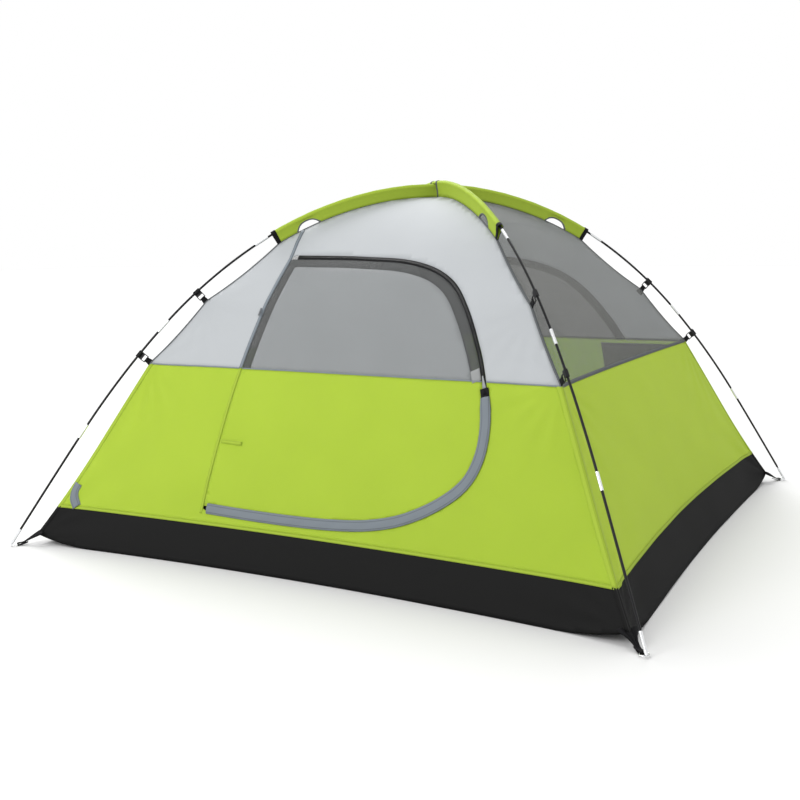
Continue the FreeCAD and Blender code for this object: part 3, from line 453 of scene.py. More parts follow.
GREEN, GREY, BLACK = (0.334, 0.456, 0.046), (0.388, 0.405, 0.419), (0.012, 0.012, 0.012)
SLATE, WEB = (0.165, 0.188, 0.210), (0.008, 0.008, 0.009)
M = {
    "green": cloth("taffeta_green", GREEN, 0.60, glow=0.6, specular=0.03),
    "green_far": cloth("taffeta_green_sunlit", GREEN, 0.60, glow=1.0, specular=0.03,
                                depth=0.0045),
    "grey_far": cloth("taffeta_grey_sunlit", GREY, tone=0.03, glow=1.0, depth=0.0042),
    "green_seam": cloth("taffeta_green_seam", tinted(GREEN, 0.93),
                                 rows=(-0.0028, 0.0028), thread=0.80),
    "grey": cloth("taffeta_grey", GREY, tone=0.03),
    "grey_seam": cloth("taffeta_grey_seam", tinted(GREY, 0.80), rows=(-0.0026, 0.0026)),
    "tub": cloth("coated_black", BLACK, 0.7, specular=0.05),
    "tub_seam": cloth("coated_black_seam", BLACK, 0.7, rows=(-0.0035, 0.0035),
                               thread=2.2, specular=0.05),
    "slate": cloth("storm_flap_cloth", SLATE, 0.6, rows=(-0.0125, 0.0105), thread=0.6),
    "slate_tape": cloth("slate_tape", tinted(SLATE, 1.1), 0.6, rows=(-0.0045, 0.0045),
                                 thread=0.7),
    "binding": cloth("binding_tape", (0.105, 0.112, 0.116), 0.7, pitch=0.0016,
                              rows=(0.0,), thread=0.6),
    "webbing": cloth("webbing_black", WEB, 0.6, pitch=0.0022, weave=0.8, tone=0.12),
    "zip": cloth("zip_tape", (0.014, 0.014, 0.015), 0.65, pitch=0.0012, weave=0.6),
    "net": net("net_grey", (0.27, 0.275, 0.265), cover=0.050, hole=0.06),
    "band": net("net_band", (0.085, 0.088, 0.088), hole=0.45),
    # painted shade: the rear window's band is the front band's cloth in a darker colour, for the
    # shade inside the tent
    "band_painted_shade": net("net_band_painted_shade", (0.060, 0.062, 0.062), hole=0.75),
    "pane": net("net_window", (0.275, 0.288, 0.293), hole=0.45),
    "pocket_net": net("pocket_net", (0.10, 0.105, 0.10), pitch=0.0026, hole=0.6),
    "elastic": cloth("shock_cord", (0.60, 0.60, 0.58), 0.7, pitch=0.0012, weave=0.6),
    "rod": hard("fibreglass_black", (0.006, 0.006, 0.007), 0.34, scale=1400.0),
    "steel": hard("steel_bright", (0.78, 0.79, 0.80), 0.28, metallic=1.0, grain=0.08),
    "plastic": hard("nylon_black", (0.008, 0.008, 0.009), 0.42, grain=0.3),
    "slider": hard("slider_paint", (0.006, 0.006, 0.007), 0.5, specular=0.08),
    "band_foot": cloth("band_foot_cloth", (0.255, 0.262, 0.262), 0.65),
    "toggle": hard("toggle_grey", (0.16, 0.17, 0.18), 0.45, grain=0.25),
    "teeth": hard("zip_teeth", (0.012, 0.012, 0.013), 0.35),
}


def piece(name, shape, material, body="tent", replaces=(), slot=None):
    """A mesh from its points, faces and cut coordinates, on its body."""
    points, faces, uv = shape
    mesh = bpy.data.meshes.new(name)
    mesh.from_pydata([tuple(p) for p in points], [], faces)
    mesh.materials.append(M[material])
    mesh.polygons.foreach_set("use_smooth", [True] * len(mesh.polygons))
    if uv is not None:
        layer = mesh.uv_layers.new(name="cut")
        corners = np.empty(len(mesh.loops), np.int32)
        mesh.loops.foreach_get("vertex_index", corners)
        layer.data.foreach_set("uv", np.asarray(uv, np.float32)[corners].ravel())
    mesh.validate()
    obj = new_object(name, mesh)
    if body == "front_door":
        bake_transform(obj)
    else:
        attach(obj, body)
    if replaces:
        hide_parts(*replaces)
    return obj


def shell(top, under, uv, flipped=False):
    """A closed shell between two equal grids of points."""
    if flipped:
        top, under, uv = (grid[:, ::-1] for grid in (top, under, uv))
    rows, cols = top.shape[:2]
    half, last = rows * cols, (rows - 1) * cols
    faces = []
    for i in range(rows - 1):
        for a in range(i * cols, i * cols + cols - 1):
            b, c, d = a + 1, a + cols + 1, a + cols
            faces += [(a, b, c, d), (half + d, half + c, half + b, half + a)]
    rim = [pair for j in range(cols - 1) for pair in ((j, j + 1), (last + j + 1, last + j))]
    rim += [pair for i in range(0, last, cols)
            for pair in ((i + cols, i), (i + cols - 1, i + 2 * cols - 1))]
    faces += [(b, a, half + a, half + b) for a, b in rim]
    points = np.concatenate([top.reshape(-1, 3), under.reshape(-1, 3)])
    flat = uv.reshape(-1, 2)
    return points, faces, np.concatenate([flat, flat])


def solid_loft(rows, uv):
    """Closed rings joined along the rows and capped at both ends."""
    count, size = rows.shape[:2]
    faces = [tuple(range(size))[::-1], tuple((count - 1) * size + k for k in range(size))]
    for i in range(count - 1):
        for k in range(size):
            a, b = i * size + k, i * size + (k + 1) % size
            faces.append((a, b, b + size, a + size))
    return rows.reshape(-1, 3), faces, uv


def merge(parts):
    """Several shapes as one."""
    faces, start = [], 0
    for points, part_faces, _ in parts:
        faces += [tuple(v + start for v in face) for face in part_faces]
        start += len(points)
    points, _, uvs = zip(*parts)
    return np.concatenate(points), faces, np.concatenate(uvs)


def run_along(path):
    """Distance along a path from its start."""
    return np.concatenate([[0], np.cumsum(np.hypot(*np.diff(path, axis=0).T))])


def heading(path):
    """Unit direction at each point of a path."""
    d = np.gradient(path, axis=0)
    return d / np.maximum(np.linalg.norm(d, axis=1, keepdims=True), 1e-9)


def right_of(path):
    d = heading(path)
    return np.stack([d[:, 1], -d[:, 0]], -1)


def sideways(path, distance):
    """The path moved to its right, in the wall's cut."""
    return path + right_of(path) * np.asarray(distance)[..., None]


def resample(path, step):
    path = np.asarray(path, float)
    run = run_along(path)
    at = np.linspace(0, run[-1], max(2, int(run[-1] / step) + 1))
    return np.stack([np.interp(at, run, path[:, k]) for k in (0, 1)], -1)


RIBBON_STEP, WAVE_TURNS = 0.008, 55


def ribbon(name, side, path, edges, material, lift, thick=0.0010, across=5, crown=0.0, wave=0.0,
           **keys):
    """A strip along a path on a wall, between two edges at these distances to the path's right.

    An edge may be several distances, spread evenly. crown swells the middle, wave ripples it.
    """
    path = resample(path, RIBBON_STEP)
    run = run_along(path)
    low, high = (np.interp(run, np.linspace(0, run[-1], len(edge)), edge)
                 for edge in map(np.atleast_1d, edges))
    top, under, uv = [], [], []
    for t in np.linspace(0, 1, across):
        offset = low + (high - low) * t
        line = sideways(path, offset)
        arch = sin(pi * t)
        swell = lift + crown * arch ** 0.6 + wave * np.sin(run * WAVE_TURNS + t * 2) * arch
        top.append(place(side, line[:, 0], line[:, 1], swell))
        under.append(place(side, line[:, 0], line[:, 1], swell - thick))
        uv.append(np.stack([run, offset], -1))
    grids = (np.stack(grid, 1) for grid in (top, under, uv))
    return piece(name, shell(*grids, flipped=side in ("front", "right")), material, **keys)


def inside(points, outline):
    x, z = points[:, 0], points[:, 1]
    result = np.zeros(len(points), bool)
    for (x0, z0), (x1, z1) in zip(outline, np.roll(outline, -1, axis=0)):
        rise = z1 - z0 if z1 != z0 else 1e-12
        result ^= ((z0 > z) != (z1 > z)) & (x < (x1 - x0) * (z - z0) / rise + x0)
    return result


def distance_to(points, outline):
    best = np.full(len(points), 9.0)
    for a, b in zip(outline, np.roll(outline, -1, axis=0)):
        ab = b - a
        t = np.clip(((points - a) @ ab) / max(ab @ ab, 1e-12), 0, 1)
        best = np.minimum(best, np.linalg.norm(points - a - t[:, None] * ab, axis=1))
    return best


def triangulated(loops, spacing):
    """Points and triangles of a cut with this outline, less the loops that follow it."""
    low, high = loops[0].min(0), loops[0].max(0)
    rows = np.arange(low[1], high[1], spacing * 0.866)      # of an even triangular grid
    grid = np.array([(x + (k % 2) * spacing / 2, z) for k, z in enumerate(rows)
                     for x in np.arange(low[0], high[0], spacing)])
    grid = grid[inside(grid, loops[0])]
    edges, start = [], 0
    for loop in loops:
        grid = grid[distance_to(grid, loop) > spacing * 0.55]
        edges += [(start + k, start + (k + 1) % len(loop)) for k in range(len(loop))]
        start += len(loop)
    flat = [Vector(p) for p in np.vstack(loops + [grid])]
    spots, _, triangles, _, _, _ = delaunay_2d_cdt(flat, edges, [], 0, 1e-7)
    spots, triangles = np.array([tuple(p) for p in spots]), np.array(triangles)
    middle = spots[triangles].mean(1)
    keep = inside(middle, loops[0])
    for loop in loops[1:]:
        keep &= ~inside(middle, loop)
    used, triangles = np.unique(triangles[keep], return_inverse=True)
    return spots[used], triangles.reshape(-1, 3)


def panel(name, side, outline, material, bay=None, lift=0.0, thick=0.0012, spacing=0.016, **keys):
    """A cut of cloth with this outline on a wall, less the bay, closed to a thin shell."""
    loops = [resample(np.vstack([loop, loop[:1]]), spacing)[:-1]
             for loop in (outline, bay) if loop is not None]
    spots, triangles = triangulated(loops, spacing)
    surface = ground if side == "ground" else lambda *spot: place(side, *spot)
    top, under = (surface(spots[:, 0], spots[:, 1], level) for level in (lift, lift - thick))
    corner = spots[triangles]
    ab, ac = corner[:, 1] - corner[:, 0], corner[:, 2] - corner[:, 0]
    flips = (ab[:, 0] * ac[:, 1] - ab[:, 1] * ac[:, 0]) < 0
    if side in ("rear", "left"):
        flips = ~flips
    triangles[flips] = triangles[flips][:, ::-1]
    count = len(spots)
    faces = [tuple(t) for t in triangles] + [tuple(t + count)[::-1] for t in triangles]
    directed = {(t[k], t[(k + 1) % 3]) for t in triangles.tolist() for k in range(3)}
    rim = [(a, b) for a, b in sorted(directed) if (b, a) not in directed]
    faces += [(b, a, a + count, b + count) for a, b in rim]
    shape = np.vstack([top, under]), faces, np.vstack([spots, spots])
    return piece(name, shape, material, **keys)


def sheet(obj):
    """Reads a piece's cut coordinates; nothing is declared and nothing more is done with them."""
    layer = obj.data.uv_layers["cut"].data
    uv = np.empty(len(layer) * 2, np.float32)
    layer.foreach_get("uv", uv)


# ---------------- outlines in the cut
DOOR_LEFT, DOOR_BOTTOM, DOOR_WIDTH, DOOR_HEIGHT = -0.431, 0.166, 1.040, 0.888
HINGE_LEAN, HINGE_FROM, HINGE_RISE = 0.066, 0.180, 0.874
# the zip's path, as shares of the door's width and height
DOOR_PATH = [(0.055, 1.0), (0.22, 0.996), (0.38, 0.990), (0.52, 0.981), (0.63, 0.957),
             (0.71, 0.922), (0.773, 0.873), (0.835, 0.793), (0.889, 0.697), (0.935, 0.597),
             (0.966, 0.495), (0.983, 0.385), (0.977, 0.295), (0.945, 0.215), (0.87, 0.142),
             (0.76, 0.078), (0.64, 0.042), (0.50, 0.026), (0.35, 0.021), (0.18, 0.022),
             (0.0, 0.028)]


def smooth(points, each=10):
    """A Catmull-Rom curve through the points."""
    p = np.asarray(points, float)
    p = np.vstack([2 * p[0] - p[1], p, 2 * p[-1] - p[-2]])
    t = np.linspace(0, 1, each, endpoint=False)[:, None]
    out = []
    for a, b, c, d in zip(p, p[1:], p[2:], p[3:]):
        out.append(0.5 * (2 * b + (c - a) * t + (2 * a - 5 * b + 4 * c - d) * t ** 2
                          + (3 * b - a - 3 * c + d) * t ** 3))
    return np.vstack(out + [p[-2:-1]])


ZIP = smooth([(DOOR_LEFT + fx * DOOR_WIDTH, DOOR_BOTTOM + fz * DOOR_HEIGHT)
              for fx, fz in DOOR_PATH])


def hinge_x(height):
    return DOOR_LEFT + HINGE_LEAN * (height - HINGE_FROM) / HINGE_RISE


def zip_x(level):
    """Where the zip passes this level on its way down the door's far side."""
    k = int(np.argmax(ZIP[:, 1] < level))
    (x0, z0), (x1, z1) = ZIP[k - 1], ZIP[k]
    return x0 + (x1 - x0) * (z0 - level) / (z0 - z1)


def door_outline(inset, side_inset):
    """The door's D, inset from the zip and from the hinge seam."""
    curve = sideways(ZIP, inset)
    curve = curve[curve[:, 0] > hinge_x(curve[:, 1]) + side_inset]
    ends = [(hinge_x(level) + side_inset, level) for level in (curve[-1, 1], curve[0, 1])]
    return np.vstack([curve, ends])


def band_outline(side, low, high):
    """A wall's full width between two heights."""
    levels = np.linspace(low, high, 60)
    right = np.stack([half_width(side, levels) - EDGE, levels], -1)
    right[:, 0] = np.maximum(right[:, 0], 0.0004)
    return np.vstack([right, right[::-1] * (-1, 1)])


def tub_outline(side):
    u = np.linspace(-1, 1, 161)
    foot = np.stack([u * (half_width(side, HEM_FOOT) - EDGE), hem_level(u)], -1)
    top = lifted_half_width(side, TUB) - EDGE
    return np.vstack([foot, [(top, TUB), (-top, TUB)]])


def clip_level(outline, level, above):
    """The part of a closed outline above or below a level."""
    out = []
    for a, b in zip(outline, np.roll(outline, -1, axis=0)):
        keep_a, keep_b = (a[1] >= level) == above, (b[1] >= level) == above
        if keep_a:
            out.append(a)
        if keep_a != keep_b:
            out.append(a + (b - a) * (level - a[1]) / (b[1] - a[1]))
    return np.array(out)


# ---------------- walls and windows
EDGE = 0.0022               # a wall stops short of the ridge, where the seam allowances meet
TOP = CREST - 0.0006
ZIP_ROOM = 0.0074           # from the zip's line to the cloth on either side of it
DOOR_BAY, DOOR_LEAF = door_outline(-ZIP_ROOM, -0.0002), door_outline(ZIP_ROOM, 0.0008)
REAR_BAY = door_outline(0, 0)
# the window's band is narrower along the top than down the far side
PANE_INSET = np.interp(np.arange(len(ZIP)), (0, 45, 70, 100, len(ZIP)),
                       (0.034, 0.036, 0.042, 0.040, 0.040))
BAND_SIDE, BAND_WIDTH = 0.035, 0.036
NET_THICK, FLAP_LIFT, FLAP_ABOVE = 0.0006, -0.009, 0.006


def build_walls():
    for side in OUTWARD:
        sheet(panel("tub_%s_cloth" % side, side, tub_outline(side), "tub", spacing=0.013,
                    slot="tub_black", replaces=["tub_walls"]))
    for side, colour in (("left", "green_far"), ("right", "green"), ("rear", "green_far")):
        sheet(panel(side + "_lower_wall_cloth", side, band_outline(side, TUB, SEAM), colour,
                    replaces=[side + "_lower_wall"], slot="shell_green"))
    for side in ("left", "right"):
        sheet(panel(side + "_mesh_wall_net", side, band_outline(side, SEAM, TOP), "net",
                    thick=NET_THICK, replaces=[side + "_mesh_wall"], slot="mesh_grey"))
    for name, low, high, bay, colour, slot in (
            ("front_lower_wall", TUB, SEAM, DOOR_BAY, "green", "shell_green"),
            ("front_upper_wall", SEAM, TOP, DOOR_BAY, "grey", "shell_grey"),
            ("rear_upper_wall", SEAM, TOP, REAR_BAY, "grey_far", "shell_grey")):
        side = name.split("_")[0]
        sheet(panel(name + "_cloth", side, band_outline(side, low, high), colour, bay=bay,
                    replaces=[name], slot=slot))


def build_windows():
    pane = clip_level(door_outline(PANE_INSET, BAND_SIDE), SEAM, True)
    # the rear window's band uses the darker copy of the band, with painted shade
    for side, prefix, body, leaf, band in (("front", "door", "front_door", DOOR_LEAF, "band"),
                                           ("rear", "rear", "tent", REAR_BAY, "band_painted_shade")):
        sheet(panel(prefix + "_window_band", side, clip_level(leaf, SEAM, True), band, bay=pane,
                    body=body, replaces=[prefix + "_window_frame"], slot="band_grey",
                    spacing=0.012))
        sheet(panel(prefix + "_window_net", side, pane, "pane", body=body, thick=NET_THICK,
                    replaces=[prefix + "_window_mesh"], slot="mesh_grey"))
    sheet(panel("door_lower_cloth", "front", clip_level(DOOR_LEAF, SEAM, False), "green",
                body="front_door", replaces=["door_lower_panel"], slot="shell_green"))
    cut = clip_level(door_outline(0.036, 0.030), SEAM + FLAP_ABOVE, True)
    sheet(panel("window_flap_cloth", "front", cut, "grey", lift=FLAP_LIFT, body="privacy_flap",
                replaces=["window_flap"], slot="flap_grey"))


# ---------------- tapes, seams and flaps on the walls
FLAP_START = int(np.argmax((ZIP[:, 0] > 0.5) & (ZIP[:, 1] < 0.6)))
ZIP_INNER, ZIP_OUTER = 0.0010, 0.0070       # a zip tape's edges, from the zip's line
TOOTH_PITCH = 0.0032
# a tooth's sections: reach from the zip's line, half its length, and the height of its back
TOOTH = ((-0.0006, 0.0007, 0.0022), (0.0026, 0.0009, 0.0022), (0.0034, 0.0006, 0.0012))
TOOTH_FOOT = 0.0004
TOOTH_FACES = ((0, 1, 5, 4), (1, 3, 7, 5), (3, 2, 6, 7), (2, 0, 4, 6), (4, 5, 9, 8), (5, 7, 11, 9),
               (7, 6, 10, 11), (6, 4, 8, 10), (0, 2, 3, 1), (8, 9, 11, 10))


def clear_of_hinge(path, gap=0.009):
    return path[path[:, 0] > hinge_x(path[:, 1]) + gap]


def level_run(start, end, level):
    return np.array([(start, level), (end, level)])


def build_zip():
    path = clear_of_hinge(ZIP)
    for name, body, hand in (("wall", "tent", -1), ("door", "front_door", 1)):
        edges = sorted((hand * ZIP_INNER, hand * ZIP_OUTER))
        ribbon("zip_%s_tape" % name, "front", path, edges, "zip", 0.0006, 0.0012, across=3,
               body=body, replaces=["zip_%s_side" % name], slot="zip_black")
        teeth("zip_%s_teeth" % name, path, hand, body)


def teeth(name, path, hand, body):
    """The coil's turns: small blocks along the zip, as one mesh."""
    spots = resample(path, TOOTH_PITCH)
    if hand > 0:
        spots = (spots[1:] + spots[:-1]) / 2
    along, right = heading(spots), right_of(spots)
    rim = []
    for reach, half, back in TOOTH:
        for turn in (-1, 1):
            spot = spots + right * (hand * reach) + along * (turn * half)
            rim += [place("front", spot[:, 0], spot[:, 1], lift) for lift in (TOOTH_FOOT, back)]
    points = np.stack(rim, 1).reshape(-1, 3)
    faces = [tuple(start + k for k in face) for start in range(0, len(points), 12)
             for face in TOOTH_FACES]
    return piece(name, (points, faces, None), "teeth", body=body, slot="zip_black")


def build_flaps():
    path = clear_of_hinge(ZIP[FLAP_START - 2:], 0.003)
    grow = np.concatenate([[0.85], np.ones(40)])            # the flap's tip is narrower
    ribbon("storm_flap_cloth", "front", path, (-0.018 * grow, 0.017 * grow), "slate", 0.0040,
           0.0012, across=9, crown=0.0025, wave=0.0012, body="front_door",
           replaces=["storm_flap"], slot="flap_grey")
    tip = ZIP[FLAP_START - 9:FLAP_START - 4]
    ribbon("zip_tip_tape", "front", tip, ((0.0, -0.0055), (0.0035, 0.0060)), "grey_seam", 0.0034,
           body="front_door", slot="flap_grey")
    foot = ZIP[(ZIP[:, 1] < 0.708) & (ZIP[:, 1] > SEAM + 0.004) & (ZIP[:, 0] > 0)]
    ribbon("band_foot_cloth", "front", foot, (0.0085, 0.0395), "band_foot", 0.0010,
           body="front_door", slot="band_grey")
    port = smooth([(-0.990, 0.142), (-1.008, 0.168), (-1.014, 0.195), (-1.006, 0.222)])
    ribbon("cable_port_cloth", "front", port, (-0.018, 0.018), "slate", 0.0016, 0.0012, across=9,
           crown=0.004, replaces=["cable_port_cover"], slot="flap_grey")
    loop = smooth([(-0.404, 0.415), (-0.380, 0.414), (-0.350, 0.413), (-0.316, 0.412)])
    ribbon("tie_back_cloth", "front", loop, (-0.006, 0.006), "green_seam", 0.0030, 0.0020,
           across=7, crown=0.002, body="front_door", replaces=["tie_back_loop"],
           slot="shell_green")
    pocket = np.array([(0.680, 0.430), (0.680, 0.650)])
    ribbon("gear_pocket_net", "rear", pocket, (-0.235, 0.136), "pocket_net", -0.016, across=25,
           replaces=["gear_pocket"], slot="band_grey")
    ribbon("gear_pocket_patch", "rear", level_run(0.543, 0.590, 0.627), (-0.021, 0.021),
           "grey_seam", -0.0145, 0.0012, across=7, slot="flap_grey")
    ribbon("gear_pocket_hem", "rear", level_run(0.445, 0.816, 0.647), (-0.006, 0.006), "binding",
           -0.0150, 0.0028, across=7, slot="band_grey")


HINGE_TAPE, HINGE_TOP, TAPE_CROWN_ARC = 0.006, 1.046, 0.588


def hinge_seam(low, high):
    return np.array([(hinge_x(z) - HINGE_TAPE, z) for z in np.linspace(low, high, 20)])


def build_seams():
    crest = float(np.interp(-TAPE_CROWN_ARC, -RIDGE[:, 2], RIDGE[:, 0]))
    rise = np.linspace((hinge_x(1.050) - HINGE_TAPE, 1.050),
                       (-half_width("front", crest) + 0.008, crest), 8)
    ribbon("hinge_tape_upper", "front", np.vstack([hinge_seam(SEAM, HINGE_TOP), rise]),
           (-0.0065, 0.0065), "slate_tape", 0.0016, 0.0012, crown=0.0008,
           replaces=["hinge_seam_tape"], slot="flap_grey")
    ribbon("hinge_tape_lower", "front", hinge_seam(0.172, SEAM), (-0.005, 0.005), "green_seam",
           0.0013, slot="flap_grey")
    for side in OUTWARD:
        half, foot = (float(width) - EDGE for width in (half_width(side, SEAM),
                                                        lifted_half_width(side, TUB)))
        ribbon("tub_seam_" + side, side, level_run(-foot, foot, TUB), (-0.005, 0.005),
               "green_seam", 0.0012, across=4, slot="shell_green")
        if side != "front":
            ribbon("seam_" + side, side, level_run(-half, half, SEAM), (-0.007, 0.004),
                   "green_seam" if side == "rear" else "binding", 0.0012, 0.0014, across=4,
                   slot="band_grey")
            continue
        for name, start, end, body in (
                ("left", -half, hinge_x(SEAM) - 0.001, "tent"),
                ("door", hinge_x(SEAM) + 0.002, zip_x(SEAM) - ZIP_ROOM - 0.001, "front_door"),
                ("right", zip_x(SEAM) + ZIP_ROOM, half, "tent")):
            ribbon("front_seam_" + name, side, level_run(start, end, SEAM), (-0.0016, 0.0020),
                   "slate_tape", 0.0012, across=4, body=body, slot="flap_grey")


# the two walls that meet at each leg's ridge, and the side of their middle that it is on
WALLS = {"front_left": (("front", -1), ("left", -1)), "front_right": (("front", 1), ("right", -1)),
         "rear_right": (("rear", 1), ("right", 1)), "rear_left": (("rear", -1), ("left", 1))}
STRIP_LIFT, STRIP_THICK = 0.0012, 0.0010


def ridge_strip(name, leg, levels, inset, material, slot):
    """Cloth folded over the edge where two walls meet."""
    top, under, uv = [], [], []
    first, second = WALLS[leg]
    shares = (1, 0.6, 0.25)
    for (side, hand), share in ([(first, s) for s in shares] + [(second, s) for s in shares[::-1]]):
        distance = inset * share
        along = hand * (lifted_half_width(side, levels) - distance)
        top.append(place(side, along, levels, STRIP_LIFT))
        under.append(place(side, along, levels, STRIP_LIFT - STRIP_THICK))
        signed = distance if side == first[0] else -distance
        uv.append(np.stack([levels, np.full(len(levels), signed)], -1))
    arcs = np.interp(-levels, -RIDGE[::-1, 0], RIDGE[::-1, 2])
    inward = np.array([leg_frame(leg, float(arc))[2] for arc in arcs])
    for grid in (top, under):
        grid.insert(3, (grid[2] + grid[3]) / 2 - inward * inset * 0.12)
    uv.insert(3, np.stack([levels, np.zeros(len(levels))], -1))
    grids = (np.stack(grid, 1) for grid in (top, under, uv))
    flipped = leg in ("front_left", "rear_right")
    return piece(name, shell(*grids, flipped=flipped), material, slot=slot)


def build_ridges():
    for leg in LEGS:
        for part, low, high, count, inset, material, slot in (
                ("lower", TUB, SEAM, 60, 0.017, "green_seam", "shell_green"),
                ("upper", SEAM, CREST - 0.012, 90, 0.0065, "binding", "band_grey"),
                ("tub", 0.0405, TUB, 16, 0.017, "tub_seam", "tub_black")):
            ridge_strip("ridge_%s_%s" % (leg, part), leg, np.linspace(low, high, count), inset,
                        material, slot)


# ---------------- sleeves, tabs and straps along the poles
SLEEVE_ROUND, SLEEVE_THICK = 0.0085, 0.0009
SLOT_ARC, SLOT_HALF, SLOT_RISE = 0.550, 0.048, 0.027
# a sleeve's web: shares of its depth, and half its width there as shares of the round's radius
WEB_SHARES = ((0.32, 0.62), (0.50, 0.36), (0.72, 0.22), (1.0, 0.14))
CROSSING = 0.026            # pole b's sleeve stops this far either side of the crossing
SADDLE_ROUND = 0.0088


def pole_axes(pole, arc):
    """Point on a pole at an arc either side of the crown, and its inward and sideways axes."""
    leg = [leg for leg in LEGS if LEGS[leg][0] == pole][arc >= 0]
    point, _, inward, _ = leg_frame(leg, abs(arc))
    angle = PHI if pole == "a" else -PHI
    lateral = Vector((-sin(angle), cos(angle), 0))
    return np.array(point), np.array((tuple(inward), tuple(lateral)))


def sweep(name, pole, arcs, section, thick, material, **keys):
    """Cloth over a pole: section gives (inward, sideways) points from one foot to the other."""
    top, under, uv = [], [], []
    for arc in arcs:
        point, axes = pole_axes(pole, arc)
        line = np.array(section(arc))
        run = run_along(line)
        top.append(point + line @ axes)
        under.append(point + (line - right_of(line) * thick) @ axes)
        uv.append(np.stack([np.full(len(run), arc), run - run[-1] / 2], -1))
    return piece(name, shell(*map(np.array, (top, under, uv))), material, **keys)


def web_depth(pole, arc):
    """How far the sleeve's web runs in from the pole to the ridge, less the arched slot."""
    arc = abs(arc)
    lower = walk(HALF, BEND[pole])[1] - walk(HALF, BEND_MEAN)[1]
    full = ridge_gap(arc) + lower * cos(pole_at(arc, BEND_MEAN)[2]) + 0.003
    off = abs(arc - SLOT_ARC) / SLOT_HALF
    return full - SLOT_RISE * max(0.0, 1 - off ** 2.6) ** 0.8


def teardrop(pole, grow=0.0):
    """Section of a sleeve: round over the pole, closing to a flat web sewn to the ridge."""
    def section(arc):
        deep = web_depth(pole, arc)
        r = SLEEVE_ROUND * (1 + 0.05 * sin(arc * 70) * sin(arc * 23 + 1)) + grow
        side = [(-r * cos(t), r * sin(t)) for t in np.linspace(0, radians(125), 9)]
        side += [(max(r * 0.7, deep * share), r * width + grow * 0.4)
                 for share, width in WEB_SHARES]
        return [(d, -w) for d, w in side[:0:-1]] + side
    return section


def slot_binding(pole):
    """Section of the folded tape along the web's lower edge."""
    def section(arc):
        deep = web_depth(pole, arc)
        half = [(deep - 0.009, -0.0026), (deep + 0.0008, -0.0026), (deep + 0.0018, 0.0)]
        return half + [(d, -w) for d, w in half[1::-1]]
    return section


def saddle(arc):
    """Section of the cloth that bridges the crossing, over the upper half of the pole."""
    return [(-SADDLE_ROUND * cos(t), SADDLE_ROUND * sin(t))
            for t in np.radians(np.linspace(-100, 100, 13))]


def build_sleeves():
    for pole in ("a", "b"):
        whole = [np.arange(-SLEEVE_END, SLEEVE_END + 1e-6, 0.006)]
        halves = [np.linspace(-SLEEVE_END, -CROSSING, 112), np.linspace(CROSSING, SLEEVE_END, 112)]
        for k, arcs in enumerate(whole if pole == "a" else halves):
            sweep("sleeve_%s_cloth_%d" % (pole, k), pole, arcs, teardrop(pole), SLEEVE_THICK,
                  "green_seam", replaces=["sleeve_" + pole], slot="shell_green")
        for k, hand in enumerate((-1, 1)):
            ends = np.linspace(hand * (SLEEVE_END - 0.014), hand * (SLEEVE_END + 0.003), 6)
            sweep("sleeve_%s_end_%d" % (pole, k), pole, np.sort(ends), teardrop(pole, 0.0012),
                  0.0014, "webbing", slot="webbing_black")
            slot = np.linspace(SLOT_ARC - SLOT_HALF - 0.004, SLOT_ARC + SLOT_HALF + 0.004, 40)
            sweep("sleeve_%s_slot_%d" % (pole, k), pole, np.sort(slot * hand), slot_binding(pole),
                  0.0008, "binding", slot="band_grey")
    bridge = np.linspace(-CROSSING - 0.004, CROSSING + 0.004, 13)
    sweep("sleeve_b_saddle", "b", bridge, saddle, SLEEVE_THICK, "green_seam", slot="shell_green")
    for k, hand in enumerate((-1, 1)):
        mouth = np.sort(np.linspace(CROSSING - 0.002, CROSSING + 0.012, 5) * hand)
        sweep("sleeve_b_mouth_%d" % k, "b", mouth, teardrop("b", 0.001), 0.0012, "binding",
              slot="band_grey")


TAB_HALF = 0.0098
# half a tab's section from the bar to the seam: depth in from the pole, half its thickness, flare
TAB = ((0.0286, 0.0, 1.0), (0.0293, 0.0020, 1.0), (0.0318, 0.0034, 1.0), (0.0348, 0.0030, 1.0),
       (0.0375, 0.0022, 1.0), (0.043, 0.0018, 1.02), (0.050, 0.0018, 1.15), (0.060, 0.0020, 1.45),
       (0.068, 0.0016, 1.55))


def build_tabs():
    """Webbing round each clip's bar, doubled down to the ridge and sewn into its seam."""
    ring = list(TAB) + [(depth, -half, flare) for depth, half, flare in TAB[:0:-1]]
    steps = np.linspace(-1, 1, 9) * TAB_HALF
    uv = np.array([(s, depth) for s in steps for depth, _, _ in ring])
    parts = []
    for leg in LEGS:
        for arc in (CLIP_ONE, CLIP_TWO):
            point, tangent, inward, side = leg_frame(leg, arc)
            axes = np.array([tuple(inward), tuple(side), tuple(tangent)])
            rows = [[np.array((depth, half, s * flare)) @ axes + np.array(point)
                     for depth, half, flare in ring] for s in steps]
            parts.append(solid_loft(np.array(rows), uv))
    piece("clip_webbing", merge(parts), "webbing", replaces=["clip_tabs"], slot="webbing_black")


STRAP_BACK, STRAP_HALF_THICK, STRAP_PLEATS = 0.020, 0.0008, 8.5
STRAP_RUN = (0.0, 0.22, 0.48, 0.76, 1.0)            # shares of the way from the tub to the ring
STRAP_HIGH, STRAP_LOW = 0.048, 0.037                # where it leaves the tub, and how far it falls
# the strap's loop round the ring: distance past the ring's middle, and height
STRAP_LOOP = ((-0.004, 0.0095), (0.003, 0.0092), (0.0042, 0.0050), (0.002, 0.0012),
              (-0.004, 0.0014), (-0.020, 0.0058), (-0.034, 0.0100))
STRAP_WIDTH = [0.034, 0.027, 0.016, 0.0100, 0.0085] + [0.0078] * 7      # half of it
STRAP_FOLD = [0.0035, 0.0045, 0.0040, 0.0022, 0.0012] + [0.0006] * 7
RING_HEIGHT, RING_BACK = 0.005, 0.0269              # the ring's middle, behind its pole's end


